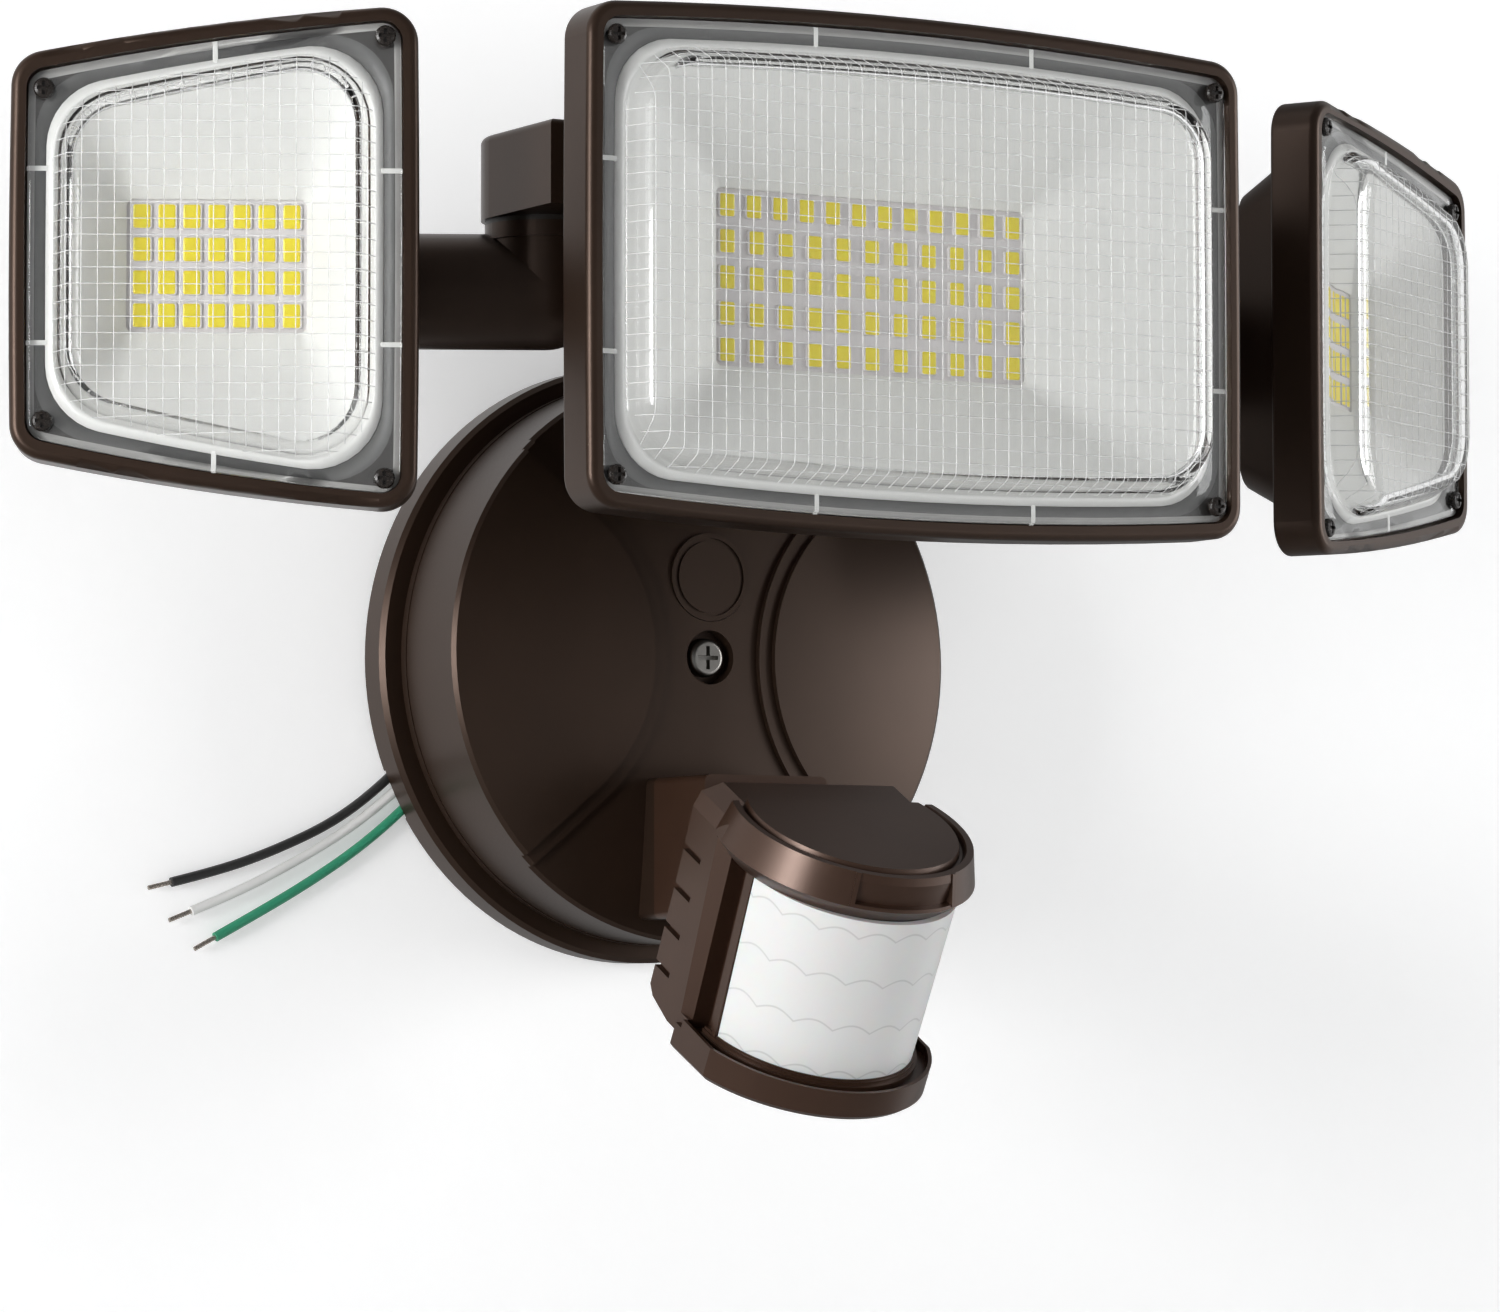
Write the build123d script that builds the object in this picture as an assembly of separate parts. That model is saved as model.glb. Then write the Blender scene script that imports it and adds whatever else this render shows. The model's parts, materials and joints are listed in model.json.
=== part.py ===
from build123d import *

import math
import os
from dataclasses import dataclass

# Motion sensor security light: three LED heads on a yoke and a motion sensor on a round canopy.
# Millimetres. The origin is the centre of the canopy's wall face, +Z is up and the front faces -Y.

# canopy: a domed drum on a wider flange, hollow at the back
gasket_thickness = 2.0
gasket_lap = 1.0
gasket_margin = 1.5
flange_radius = 65.0
flange_front = 10.0
flange_wall = 9.0
flange_lip = 3.8
groove_sink = 1.0
groove_width = 2.0
drum_radius = flange_radius - flange_lip
groove_radius = drum_radius - groove_sink
drum_front = 34.6
dome_rise = 5.1
cavity_radius = flange_radius - flange_wall
cavity_front = 31.0
lobe_step = 1.3
waist_half_width = 11.6
waist_terrace = 3.2
waist_radius = 38.0
waist_half_angle = 48.0

# fastenings of the canopy
screw_radius = 2.0
screw_clearance = 0.2
screw_head_radius = 4.15
screw_head_height = 2.6
screw_recess_radius = 5.8
screw_recess_floor = 33.6
boss_radius = 6.0
boss_back = 6.0
strap_gap = 3.0
strap_half_length = cavity_radius - strap_gap
strap_half_width = 9.0
strap_thickness = 1.6
strap_inset = 0.3
strap_slot_spacing = 88.9
strap_slot_length = 12.0
strap_slot_radius = 2.5
plug_height = 17.2
plug_radius = 8.4
plug_rim_radius = 9.4
plug_rim_depth = 0.9
plug_seat = 36.2
plug_clearance = 0.15
plug_groove_width = 0.7
plug_groove_start = 0.5
plug_groove_end = 3.0

# yoke: neck, crossbar and two ears
yoke_bottom = 84.0
yoke_height = 17.0
yoke_half_width = 77.5
yoke_back = 67.0
yoke_corner_radius = 13.0
bar_front = 86.0
shoulder_front = 93.0
shoulder_half_width = 50.0
ear_front = 105.5
ear_inner = 66.0
foot_seat = 39.4
foot_bottom = 31.0
foot_top = 57.0
foot_half_width = 15.0
foot_pad_margin = 2.5
foot_screw_spread = 23.0
neck_lap = 6.0
neck_front = bar_front - 4.0
neck_elbow = (70.0, 60.0)
neck_foot_depth = 50.0

# elbows: each swivels on a vertical bolt under the crossbar
swivel_x = 64.5
swivel_y = -80.0
arm_height = 69.7
arm_radius = 11.7
collar_radius = 12.2
collar_height = 3.2
washer_thickness = 1.0
swivel_bolt_radius = 3.0
swivel_head_radius = 6.0
swivel_head_height = 4.0
swivel_bolt_depth = 14.0
side_turn = 27.7
arm_reach = 65.3
journal_radius = 9.0
running_gap = 0.3
barrel_radius = 13.5
barrel_length = 30.0
tilt_bolt_radius = 3.0
tilt_bolt_depth = 14.0
tilt_washer_radius = 11.5
tilt_washer_thickness = 1.5
tilt_head_radius = 5.0
tilt_head_height = 3.5

# heads: depths are measured back from the bezel's front edge
bezel_depth = 11.0
bezel_edge_radius = 1.7
outline_corner = 7.0
rim_width = 3.0
lens_recess = 1.0
lens_flange = 1.8
lens_gap = 0.3
lens_wall = 2.0
pillow_inset = 8.4
pillow_top_inset = 11.4
pillow_height = 5.7
pillow_corner = 13.5
pillow_top_corner = 11.0
head_gasket_width = 4.2
head_gasket_thickness = 1.4
reflector_mouth_inset = 8.9
reflector_wall = 1.1
reflector_lip = 1.0
led_board_thickness = 1.6
led_board_margin = 4.5
led_window_margin = 2.2
chip_width = 3.8
chip_height = 4.6
chip_thickness = 0.7
head_screw_inset = 6.3
head_screw_radius = 1.2
head_screw_head = 2.1
head_screw_head_height = 1.4
head_screw_length = 9.0
groove_cut_width = 4.0
groove_cut_depth = 3.6
groove_cut_pitch = 9.0

# centre head's place and its tilt axis
centre_face = 122.6
centre_height = 72.4
pivot_y = -100.0
pivot_height = 92.5
trunnion_radius = 6.0
trunnion_root = shoulder_half_width - 4.0
trunnion_pin_radius = 4.0
bush_wall = 1.0
bush_length = 6.5
pivot_clearance = 0.1

# centre head's own sizes
centre_half_width = 78.2
centre_half_height = 49.6
centre_bow = 3.07
centre_side_bow = 0.3
centre_body_inset = 14.0
centre_back_inset_x = 34.0
centre_back_inset_z = 24.0
centre_back_depth = 30.0
centre_led_depth = 22.0
centre_led_half_width = 36.5
centre_led_half_height = 17.0
centre_led_rows = (12, 11, 11, 11, 11)

# side heads
side_axis_depth = 45.4
side_height = 70.95
side_half_width = 39.3
side_half_inner = 49.5
side_half_outer = 38.7
side_top_bow = 1.35
side_edge_bow = 0.4
side_body_inset = 9.5
side_back_inset_x = 17.0
side_back_inset_z = 16.0
side_back_depth = 27.0
side_led_depth = 18.0
side_led_half_width = 16.6
side_led_half_height = 12.1
side_led_rows = (7, 7, 7, 7)

# motion sensor, in its own tilted frame: lens axis = Z, front = -Y
sensor_origin = (0.0, -74.2, -78.0)
sensor_tilt = 28.5
sensor_lens_radius = 23.7
sensor_lens_height = 35.5
sensor_lens_wall = 1.5
sensor_lens_back = -4.9
sensor_lens_lean = 2.1
sensor_lens_gap = 0.2
sensor_half_width = 25.5
sensor_split = 11.0
sensor_back = 21.6
sensor_roof = 44.9
rear_bottom = -5.2
sensor_shoulder = 38.7
sensor_cavity_radius = 19.0
window_bevel = 1.2
window_bevel_start = 6.8
window_front = 3.6
window_floor = 20.2
window_foot = 22.7
window_step = 0.5
window_step_pitch = 1.4
window_step_count = 3
chin_radius = 28.0
chin_half_width = 26.6
chin_back = 6.0
chin_droop = 1.3
chin_height = 7.4
chin_floor = 4.4
chin_rim = 0.8
chin_rim_sink = 0.9
chin_channel_sink = 2.8
chin_rings = ((24.9, 1.3), (24.3, 0.5), (23.9, 0.0))
visor_radius = 27.8
visor_brow = 3.4
visor_top_radius = 25.7
visor_height = 45.8
visor_setback = 2.5
visor_end = 26.4
visor_end_start = 6.4
visor_rib_angle = 26.0
visor_rib_width = 1.1
visor_panel_radius = 26.2
roof_panel_radius = 23.0
roof_groove = 1.2
sensor_wall = 2.0
sensor_pivot_y = 18.4
sensor_pivot_z = 25.0
sensor_lug_radius = 5.0
sensor_pin_radius = 2.2
sensor_pin_inset = 2.5
bracket_half_width = 15.0
bracket_corner = 1.5
bracket_gap = 0.4
bracket_top = -26.0
bracket_bottom = -56.0
bracket_seat = 39.0
bracket_front = 60.0
vent_count = 4
vent_first_height = 3.45
vent_pitch = 8.8
vent_length = 7.5
vent_width = 1.3
vent_depth = 1.4
dial_radius = 3.8
dial_height = 2.4
dial_spacing = 12.0
dial_setback = 4.0
dial_shaft_radius = 1.5

# supply wires: stripped ends, one rubber grommet where they leave the neck
wire_radius = 1.05
conductor_radius = 0.55
conductor_length = 5.4
grommet_centre = (0.0, 44.0)
grommet_radius = 5.5
grommet_flange_radius = 7.5
grommet_flange = 2.5
grommet_depth = 5.0
wire_slot_place = 205.7
wire_slot_angle = 222.0
wire_slot_length = 30.0
wire_slot_width = 11.0
wire_slot_depth = 1.2
wire_start = -(cavity_front - grommet_flange)

wire_routes = {
    "black": [(-2.1, wire_start, 45.7), (-2.1, -13.5, 45.7), (-15.5, -8.5, 26.5), (-32.5, -5.6, 5.0),
              (-44.0, -3.2, -10.5), (-50.5, -1.4, -18.0), (-60.5, -1.4, -27.5), (-71.8, -1.4, -35.4),
              (-86.0, -1.4, -41.6), (-98.5, -1.4, -45.8), (-109.6, -1.4, -48.4)],
    "white": [(0.0, wire_start, 44.0), (0.0, -13.5, 44.0), (-14.0, -8.5, 24.5), (-30.5, -5.6, 2.5),
              (-41.5, -3.2, -13.0), (-48.9, -1.4, -21.6), (-59.0, -1.4, -30.2), (-69.8, -1.4, -37.8),
              (-82.0, -1.4, -44.4), (-94.0, -1.4, -50.2), (-105.0, -1.4, -54.4)],
    "green": [(2.1, wire_start, 42.3), (2.1, -13.5, 42.3), (-12.5, -8.5, 22.5), (-28.5, -5.6, 0.0),
              (-39.0, -3.2, -15.5), (-46.8, -1.4, -24.4), (-56.3, -1.4, -33.4), (-66.4, -1.4, -41.2),
              (-78.0, -1.4, -48.4), (-89.0, -1.4, -54.4), (-99.4, -1.4, -59.8)],
}


@dataclass
class HeadSize:
    """Outline of one head, seen from the front, with its inner side on the left."""

    half_width: float
    half_inner: float
    half_outer: float
    bow: float
    side_bow: float
    body_inset: float
    back_inset: tuple
    back_depth: float
    led_depth: float
    led_half_width: float
    led_half_height: float
    led_rows: tuple


centre_head = HeadSize(
    centre_half_width, centre_half_height, centre_half_height, centre_bow, centre_side_bow,
    centre_body_inset, (centre_back_inset_x, centre_back_inset_z), centre_back_depth,
    centre_led_depth, centre_led_half_width, centre_led_half_height, centre_led_rows)
side_head = HeadSize(
    side_half_width, side_half_inner, side_half_outer, side_top_bow, side_edge_bow,
    side_body_inset, (side_back_inset_x, side_back_inset_z), side_back_depth,
    side_led_depth, side_led_half_width, side_led_half_height, side_led_rows)


def at_depth(sketch, depth):
    """The sketch, upright and facing the viewer, at a depth behind the frame's front plane."""
    return Plane.XZ.offset(-depth) * sketch


def slab(sketch, front, back):
    """The sketch extruded from one depth to another."""
    return extrude(at_depth(sketch, back), amount=back - front)


def rod(radius, start, end):
    """A round rod between two points."""
    start, end = Vector(*start), Vector(*end)
    plane = Plane(origin=start, z_dir=end - start)
    return extrude(plane * Circle(radius), amount=(end - start).length)


def block(x_range, y_range, z_range):
    """A box between the given limits."""
    sizes = [limits[1] - limits[0] for limits in (x_range, y_range, z_range)]
    middle = [(limits[0] + limits[1]) / 2 for limits in (x_range, y_range, z_range)]
    return Pos(*middle) * Box(*sizes)


def mirrored(part):
    """The left-hand copy of a right-hand piece."""
    return mirror(part, about=Plane.YZ)


# ---- canopy ---------------------------------------------------------------------------------


def hourglass(terrace):
    """Channel outline at a distance inside the lobes: two throats joined by a round waist."""
    turn = math.radians(waist_half_angle)
    half_waist = waist_half_width + waist_terrace - terrace
    radius = waist_radius + terrace
    throat_x = half_waist + radius * (1 - math.cos(turn))
    throat_z = radius * math.sin(turn)
    end_z = flange_radius + 5
    end_x = throat_x + (end_z - throat_z) * math.tan(turn)
    right = [
        Line((end_x, -end_z), (throat_x, -throat_z)),
        ThreePointArc((throat_x, -throat_z), (half_waist, 0), (throat_x, throat_z)),
        Line((throat_x, throat_z), (end_x, end_z)),
    ]
    left = [
        Line((-end_x, end_z), (-throat_x, throat_z)),
        ThreePointArc((-throat_x, throat_z), (-half_waist, 0), (-throat_x, -throat_z)),
        Line((-throat_x, -throat_z), (-end_x, -end_z)),
    ]
    ends = [Line((end_x, end_z), (-end_x, end_z)), Line((-end_x, -end_z), (end_x, -end_z))]
    return make_face(right + left + ends)


def drum(sink=0.0):
    """Flange, groove, drum and crowned face, with the face sunk by the given amount."""
    front = -drum_front + sink
    groove_back = -flange_front - groove_width
    rise_at_half = dome_rise * 0.75
    profile = make_face([
        Polyline((0, -gasket_thickness), (flange_radius - 0.6, -gasket_thickness),
                 (flange_radius, -gasket_thickness - 0.6), (flange_radius, -flange_front + 1.0),
                 (flange_radius - 1.0, -flange_front), (groove_radius, -flange_front),
                 (groove_radius, groove_back), (drum_radius, groove_back), (drum_radius, front + 1.0),
                 (drum_radius - 1.0, front)),
        ThreePointArc((drum_radius - 1.0, front), (drum_radius / 2, front - rise_at_half),
                      (0, front - dome_rise)),
        Line((0, front - dome_rise), (0, -gasket_thickness)),
    ])
    return revolve(profile, axis=Axis.Y)


def rounded_box(x_range, y_range, z_range, radius):
    """A box whose edges along Y are rounded."""
    part = block(x_range, y_range, z_range)
    return fillet(part.edges().filter_by(Axis.Y), radius)


def wire_slot(front, back):
    """Straight slot in the rim where the supply wires leave."""
    reach = (flange_radius + cavity_radius - gasket_lap) / 2
    place = math.radians(wire_slot_place)
    x, z = reach * math.cos(place), reach * math.sin(place)
    slot = block((-wire_slot_length / 2, wire_slot_length / 2), (-front, -back),
                 (-wire_slot_width / 2, wire_slot_width / 2))
    return Pos(x, 0, z) * Rot(0, -wire_slot_angle, 0) * slot


def make_canopy():
    body = drum()
    for count in (1, 2):
        channel = slab(hourglass((count - 1) * waist_terrace), -60, -20)
        body -= channel - drum(sink=count * lobe_step)
    foot_pad = rounded_box((-foot_half_width - foot_pad_margin, foot_half_width + foot_pad_margin),
                           (-foot_seat, -cavity_front), (foot_bottom - 1, foot_top + 1), 2.5)
    bracket_pad = rounded_box(
        (-bracket_half_width, bracket_half_width), (-bracket_seat, -cavity_front + 1),
        (bracket_bottom, bracket_top), bracket_corner)
    body += foot_pad + bracket_pad
    body &= rod(drum_radius - 0.2, (0, -60, 0), (0, -flange_front - 1, 0)) + rod(
        flange_radius + 1, (0, -flange_front - 2 * groove_width, 0), (0, 0, 0))
    body -= rod(cavity_radius, (0, 0, 0), (0, -cavity_front, 0))
    body += rod(boss_radius, (0, -cavity_front - 1, 0), (0, -boss_back, 0))
    body -= rod(screw_radius + screw_clearance, (0, -60, 0), (0, 0, 0))
    body -= rod(screw_recess_radius, (0, -60, 0), (0, -screw_recess_floor, 0))
    body -= rod(plug_radius + plug_clearance, (0, -60, plug_height), (0, 0, plug_height))
    body -= rod(plug_rim_radius + plug_clearance, (0, -60, plug_height), (0, -plug_seat, plug_height))
    grommet_x, grommet_z = grommet_centre
    body -= rod(grommet_radius + plug_clearance, (grommet_x, -60, grommet_z), (grommet_x, 0, grommet_z))
    for x, z, _ in foot_screw_places() + bracket_screw_places():
        body -= rod(screw_radius + screw_clearance, (x, -60, z), (x, 0, z))
    body -= wire_slot(gasket_thickness + wire_slot_depth, 0)
    return body


def foot_screw_places():
    """x, z and seat of the two screws of the neck's foot."""
    middle = (foot_bottom + foot_top) / 2
    return [(side * foot_screw_spread / 2, middle, foot_seat) for side in (-1, 1)]


def bracket_screw_places():
    """x, z and seat of the two screws of the sensor bracket."""
    middle = (bracket_bottom + bracket_top) / 2
    return [(side * bracket_half_width / 2, middle, bracket_seat) for side in (-1, 1)]


def inside_screws(places):
    """Pan head screws that reach forward through the canopy's front wall."""
    screws = []
    for x, z, seat in places:
        head = rod(screw_head_radius - 0.6, (x, -cavity_front + screw_head_height, z), (x, -cavity_front, z))
        shank = rod(screw_radius, (x, -cavity_front, z), (x, -seat - 7.5, z))
        screws.append(head + shank)
    return screws


def screw_pilots(places):
    """Holes that take the ends of those screws."""
    return [rod(screw_radius + 0.05, (x, -seat, z), (x, -seat - 8, z)) for x, z, seat in places]


def make_wall_gasket():
    ring = rod(flange_radius - gasket_margin, (0, 0, 0), (0, -gasket_thickness, 0))
    ring -= rod(cavity_radius - gasket_lap, (0, 1, 0), (0, -gasket_thickness - 1, 0))
    return ring - wire_slot(gasket_thickness + 1, -1)


def make_mounting_strap():
    front = strap_inset + strap_thickness
    strap = rounded_box((-strap_half_length, strap_half_length), (-front, -strap_inset),
                        (-strap_half_width, strap_half_width), 3)
    slot = slab(SlotOverall(strap_slot_length, 2 * strap_slot_radius), -5, 5)
    for side in (-1, 1):
        strap -= Pos(side * strap_slot_spacing / 2, 0, 0) * slot
    return strap - rod(screw_radius + 0.05, (0, 0, 0), (0, -5, 0))


def make_canopy_screw():
    front = -screw_recess_floor - screw_head_height
    head = rod(screw_head_radius, (0, -screw_recess_floor, 0), (0, front, 0))
    head = fillet(head.faces().sort_by(Axis.Y)[0].edges(), 1.1)
    cross = Box(5.0, 3.4, 0.9) + Box(0.9, 3.4, 5.0)
    head -= Pos(0, front, 0) * cross
    return head + rod(screw_radius, (0, -screw_recess_floor, 0), (0, -strap_inset, 0))


def make_knockout_plug():
    rim = rod(plug_rim_radius, (0, -plug_seat, plug_height),
              (0, -plug_seat - plug_rim_depth, plug_height))
    start, end = -plug_seat - plug_groove_start, -plug_seat - plug_groove_end
    ring = rod(plug_radius, (0, start, plug_height), (0, end, plug_height))
    ring -= rod(plug_radius - plug_groove_width, (0, start + 0.1, plug_height), (0, end, plug_height))
    return rim - ring + rod(plug_radius, (0, -plug_seat, plug_height), (0, -cavity_front, plug_height))


def make_wire_grommet():
    x, z = grommet_centre
    flange = rod(grommet_flange_radius, (x, wire_start, z), (x, -cavity_front, z))
    bush = rod(grommet_radius, (x, -cavity_front, z), (x, -cavity_front - grommet_depth, z))
    return flange + bush


# ---- yoke -----------------------------------------------------------------------------------


def make_yoke():
    top = yoke_bottom + yoke_height
    corners = [(-yoke_half_width, -ear_front), (-yoke_half_width, -yoke_back), (yoke_half_width, -yoke_back),
               (yoke_half_width, -ear_front), (ear_inner, -ear_front), (ear_inner, -shoulder_front),
               (shoulder_half_width, -shoulder_front), (shoulder_half_width, -bar_front),
               (-shoulder_half_width, -bar_front), (-shoulder_half_width, -shoulder_front),
               (-ear_inner, -shoulder_front), (-ear_inner, -ear_front)]
    bar = extrude(Pos(0, 0, yoke_bottom) * make_face(Polyline(*corners, close=True)), amount=yoke_height)
    back_edges = [edge for edge in bar.edges().filter_by(Axis.Z)
                  if edge.center().Y > -yoke_back - 1 and abs(edge.center().X) > yoke_half_width - 1]
    bar = fillet(back_edges, yoke_corner_radius)
    bar = fillet(bar.faces().sort_by(Axis.Z)[-1].edges(), 1.5)
    elbow_depth, elbow_height = neck_elbow
    side = make_face(Polyline(
        (-foot_seat, foot_bottom), (-foot_seat, foot_top), (-yoke_back - 1, yoke_bottom + neck_lap),
        (-neck_front, yoke_bottom + neck_lap), (-neck_front, yoke_bottom), (-elbow_depth, elbow_height),
        (-neck_foot_depth, foot_bottom), close=True))
    neck = extrude(Plane.YZ * side, amount=foot_half_width, both=True)
    neck = fillet(neck.edges().filter_by(Axis.X).filter_by(
        lambda edge: -neck_front + 2 < edge.center().Y < -foot_seat - 1
        and edge.center().Z < yoke_bottom - 1), 3)
    yoke = bar + neck
    for side in (-1, 1):
        x = side * swivel_x
        yoke -= rod(swivel_bolt_radius + running_gap, (x, swivel_y, 0), (x, swivel_y, top + 1))
        yoke -= rod(swivel_head_radius + 1, (x, swivel_y, top - swivel_head_height - 1),
                    (x, swivel_y, top + 1))
        bore_start, bore_end = side * (ear_inner - 5), side * (ear_inner + bush_length)
        yoke -= rod(trunnion_pin_radius + pivot_clearance + bush_wall, (bore_start, pivot_y, pivot_height),
                    (bore_end, pivot_y, pivot_height))
    for hole in screw_pilots(foot_screw_places()):
        yoke -= hole
    grommet_x, grommet_z = grommet_centre
    yoke -= rod(grommet_radius + plug_clearance, (grommet_x, -foot_seat + 1, grommet_z),
                (grommet_x, -foot_seat - 6, grommet_z))
    return yoke


def make_pivot_bush(side):
    start = (side * ear_inner, pivot_y, pivot_height)
    end = (side * (ear_inner + bush_length), pivot_y, pivot_height)
    bore = trunnion_pin_radius + pivot_clearance
    return rod(bore + bush_wall, start, end) - rod(bore, start, end)


def arm_point(along, behind=0.0, height=arm_height):
    """A point of the right-hand arm, at a distance along its axis from the swivel bolt."""
    turn = math.radians(side_turn)
    x = swivel_x + along * math.cos(turn) - behind * math.sin(turn)
    y = swivel_y + along * math.sin(turn) + behind * math.cos(turn)
    return (x, y, height)


def make_elbow():
    top = yoke_bottom - washer_thickness
    centre = (swivel_x, swivel_y, arm_height)
    shoulder = arm_reach - barrel_length / 2 - running_gap
    journal_end = arm_reach + barrel_length / 2 + running_gap
    elbow = rod(arm_radius, centre, (swivel_x, swivel_y, top))
    elbow += Pos(*centre) * Sphere(arm_radius)
    elbow += rod(arm_radius, centre, arm_point(shoulder))
    elbow += rod(collar_radius, (swivel_x, swivel_y, top - collar_height), (swivel_x, swivel_y, top))
    elbow += rod(journal_radius, arm_point(shoulder - 1), arm_point(journal_end))
    elbow -= rod(swivel_bolt_radius + 0.05, (swivel_x, swivel_y, top - swivel_bolt_depth),
                 (swivel_x, swivel_y, top + 1))
    return elbow - rod(tilt_bolt_radius + 0.05, arm_point(journal_end - tilt_bolt_depth),
                       arm_point(journal_end + 1))


def make_swivel_washer():
    low, high = yoke_bottom - washer_thickness, yoke_bottom
    bottom, top = (swivel_x, swivel_y, low), (swivel_x, swivel_y, high)
    return rod(collar_radius, bottom, top) - rod(swivel_bolt_radius + running_gap, bottom, top)


def make_swivel_bolt():
    seat = yoke_bottom + yoke_height - swivel_head_height - 1
    head = rod(swivel_head_radius, (swivel_x, swivel_y, seat),
               (swivel_x, swivel_y, seat + swivel_head_height))
    head = fillet(head.faces().sort_by(Axis.Z)[-1].edges(), 1.5)
    foot = yoke_bottom - washer_thickness - swivel_bolt_depth + 0.5
    return head + rod(swivel_bolt_radius, (swivel_x, swivel_y, foot), (swivel_x, swivel_y, seat))


def make_tilt_bolt():
    seat = arm_reach + barrel_length / 2 + running_gap
    washer = rod(tilt_washer_radius, arm_point(seat), arm_point(seat + tilt_washer_thickness))
    head = rod(tilt_head_radius, arm_point(seat), arm_point(seat + tilt_washer_thickness + tilt_head_height))
    return washer + head + rod(tilt_bolt_radius, arm_point(seat - tilt_bolt_depth + 0.5), arm_point(seat))


# ---- heads, in their own frame: bezel front at Y = 0, inner side at -X --------------------------


def outline(size, inset=0.0, corner=None, inset_z=None):
    """The head's bowed, tapered outline, moved inwards and with its own corner radius."""
    inset_z = inset if inset_z is None else inset_z
    half_width = size.half_width - inset
    inner, outer = size.half_inner - inset_z, size.half_outer - inset_z
    middle = (inner + outer) / 2 + size.bow
    face = make_face([
        ThreePointArc((-half_width, inner), (0, middle), (half_width, outer)),
        ThreePointArc((half_width, outer), (half_width + size.side_bow, 0), (half_width, -outer)),
        ThreePointArc((half_width, -outer), (0, -middle), (-half_width, -inner)),
        ThreePointArc((-half_width, -inner), (-half_width - size.side_bow, 0), (-half_width, inner)),
    ])
    return fillet(face.vertices(), corner or max(outline_corner - inset, 1.5))


def led_rectangle(size, margin, corner=1.4):
    width, height = size.led_half_width + margin, size.led_half_height + margin
    return RectangleRounded(2 * width, 2 * height, corner)


def funnel(size, grow=0.0):
    """Four-sided reflector cone from the LED window to the mouth under the lens."""
    front = lens_recess + lens_flange + running_gap
    mouth = outline(size, reflector_mouth_inset - grow, pillow_corner)
    window = led_rectangle(size, led_window_margin + grow)
    back = size.led_depth - reflector_lip
    return loft([at_depth(window, back), at_depth(mouth, front)], ruled=True)


def make_housing(size):
    bezel = slab(outline(size), 0, bezel_depth)
    bezel = fillet(bezel.faces().sort_by(Axis.Y)[0].edges(), bezel_edge_radius)
    bezel = fillet(bezel.faces().sort_by(Axis.Y)[-1].edges(), 1.0)
    body = loft([at_depth(outline(size, size.back_inset[0], 6, size.back_inset[1]), size.back_depth),
                 at_depth(outline(size, size.body_inset, 8, size.body_inset * 0.8), bezel_depth - 0.5)],
                ruled=True)
    half_back = size.half_width - size.back_inset[0] - 5
    count = int(2 * half_back // groove_cut_pitch) + 1
    for index in range(count):
        x = (index - (count - 1) / 2) * groove_cut_pitch
        body -= block((x - groove_cut_width / 2, x + groove_cut_width / 2),
                      (size.back_depth - groove_cut_depth, size.back_depth + 1), (-60, 60))
    housing = bezel + body
    ledge = lens_recess + lens_flange + head_gasket_thickness
    housing -= slab(outline(size, rim_width), -1, ledge)
    seat = led_rectangle(size, led_board_margin + running_gap, 1.8)
    floor = size.led_depth + led_board_thickness
    mouth = outline(size, pillow_inset - 0.3, pillow_corner)
    housing -= loft([at_depth(seat, floor), at_depth(mouth, ledge - 0.01)], ruled=True)
    for x, z in screw_corners(size):
        housing -= rod(head_screw_radius + 0.1, (x, 0, z), (x, lens_recess + head_screw_length + 0.5, z))
    return housing


def screw_corners(size):
    """Centres of the four corner screws."""
    x = size.half_width - head_screw_inset
    inner, outer = size.half_inner - head_screw_inset, size.half_outer - head_screw_inset
    return [(-x, inner), (-x, -inner), (x, outer), (x, -outer)]


def make_lens(size):
    inset = rim_width + lens_gap
    flange = slab(outline(size, inset), lens_recess, lens_recess + lens_flange)
    pillow = loft([at_depth(outline(size, pillow_inset, pillow_corner), lens_recess + 0.2),
                   at_depth(outline(size, pillow_top_inset, pillow_top_corner), -pillow_height)], ruled=True)
    wall = lens_wall
    hollow_mouth = outline(size, pillow_inset + wall, pillow_corner - wall)
    hollow_top = outline(size, pillow_top_inset + wall, pillow_top_corner - wall)
    hollow = loft([at_depth(hollow_mouth, lens_recess + lens_flange),
                   at_depth(hollow_top, wall - pillow_height)], ruled=True)
    lens = flange + pillow - hollow
    for x, z in screw_corners(size):
        lens -= rod(head_screw_radius + 0.2, (x, -1, z), (x, 5, z))
    return lens


def make_head_gasket(size):
    inset = rim_width + lens_gap
    front = lens_recess + lens_flange
    ring = slab(outline(size, inset), front, front + head_gasket_thickness)
    ring -= slab(outline(size, inset + head_gasket_width, pillow_corner), front - 1, front + 5)
    for x, z in screw_corners(size):
        ring -= rod(head_screw_radius + 0.2, (x, 0, z), (x, 8, z))
    return ring


def make_reflector(size):
    back = size.led_depth - reflector_lip
    shell = funnel(size) - funnel(size, -reflector_wall)
    lip = slab(led_rectangle(size, led_window_margin), back, size.led_depth)
    lip -= slab(led_rectangle(size, led_window_margin - reflector_wall), back - 1, size.led_depth + 1)
    return shell + lip


def make_led_board(size):
    board = led_rectangle(size, led_board_margin, 2.0)
    return slab(board, size.led_depth, size.led_depth + led_board_thickness)


def make_led_chips(size):
    chips = []
    rows = len(size.led_rows)
    for row, count in enumerate(size.led_rows):
        z = (size.led_half_height - chip_height / 2) * (1 - 2 * row / (rows - 1))
        for column in range(count):
            x = (size.led_half_width - chip_width / 2) * (2 * column / (count - 1) - 1)
            chips.append(block((x - chip_width / 2, x + chip_width / 2),
                               (size.led_depth - chip_thickness, size.led_depth),
                               (z - chip_height / 2, z + chip_height / 2)))
    return chips


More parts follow.
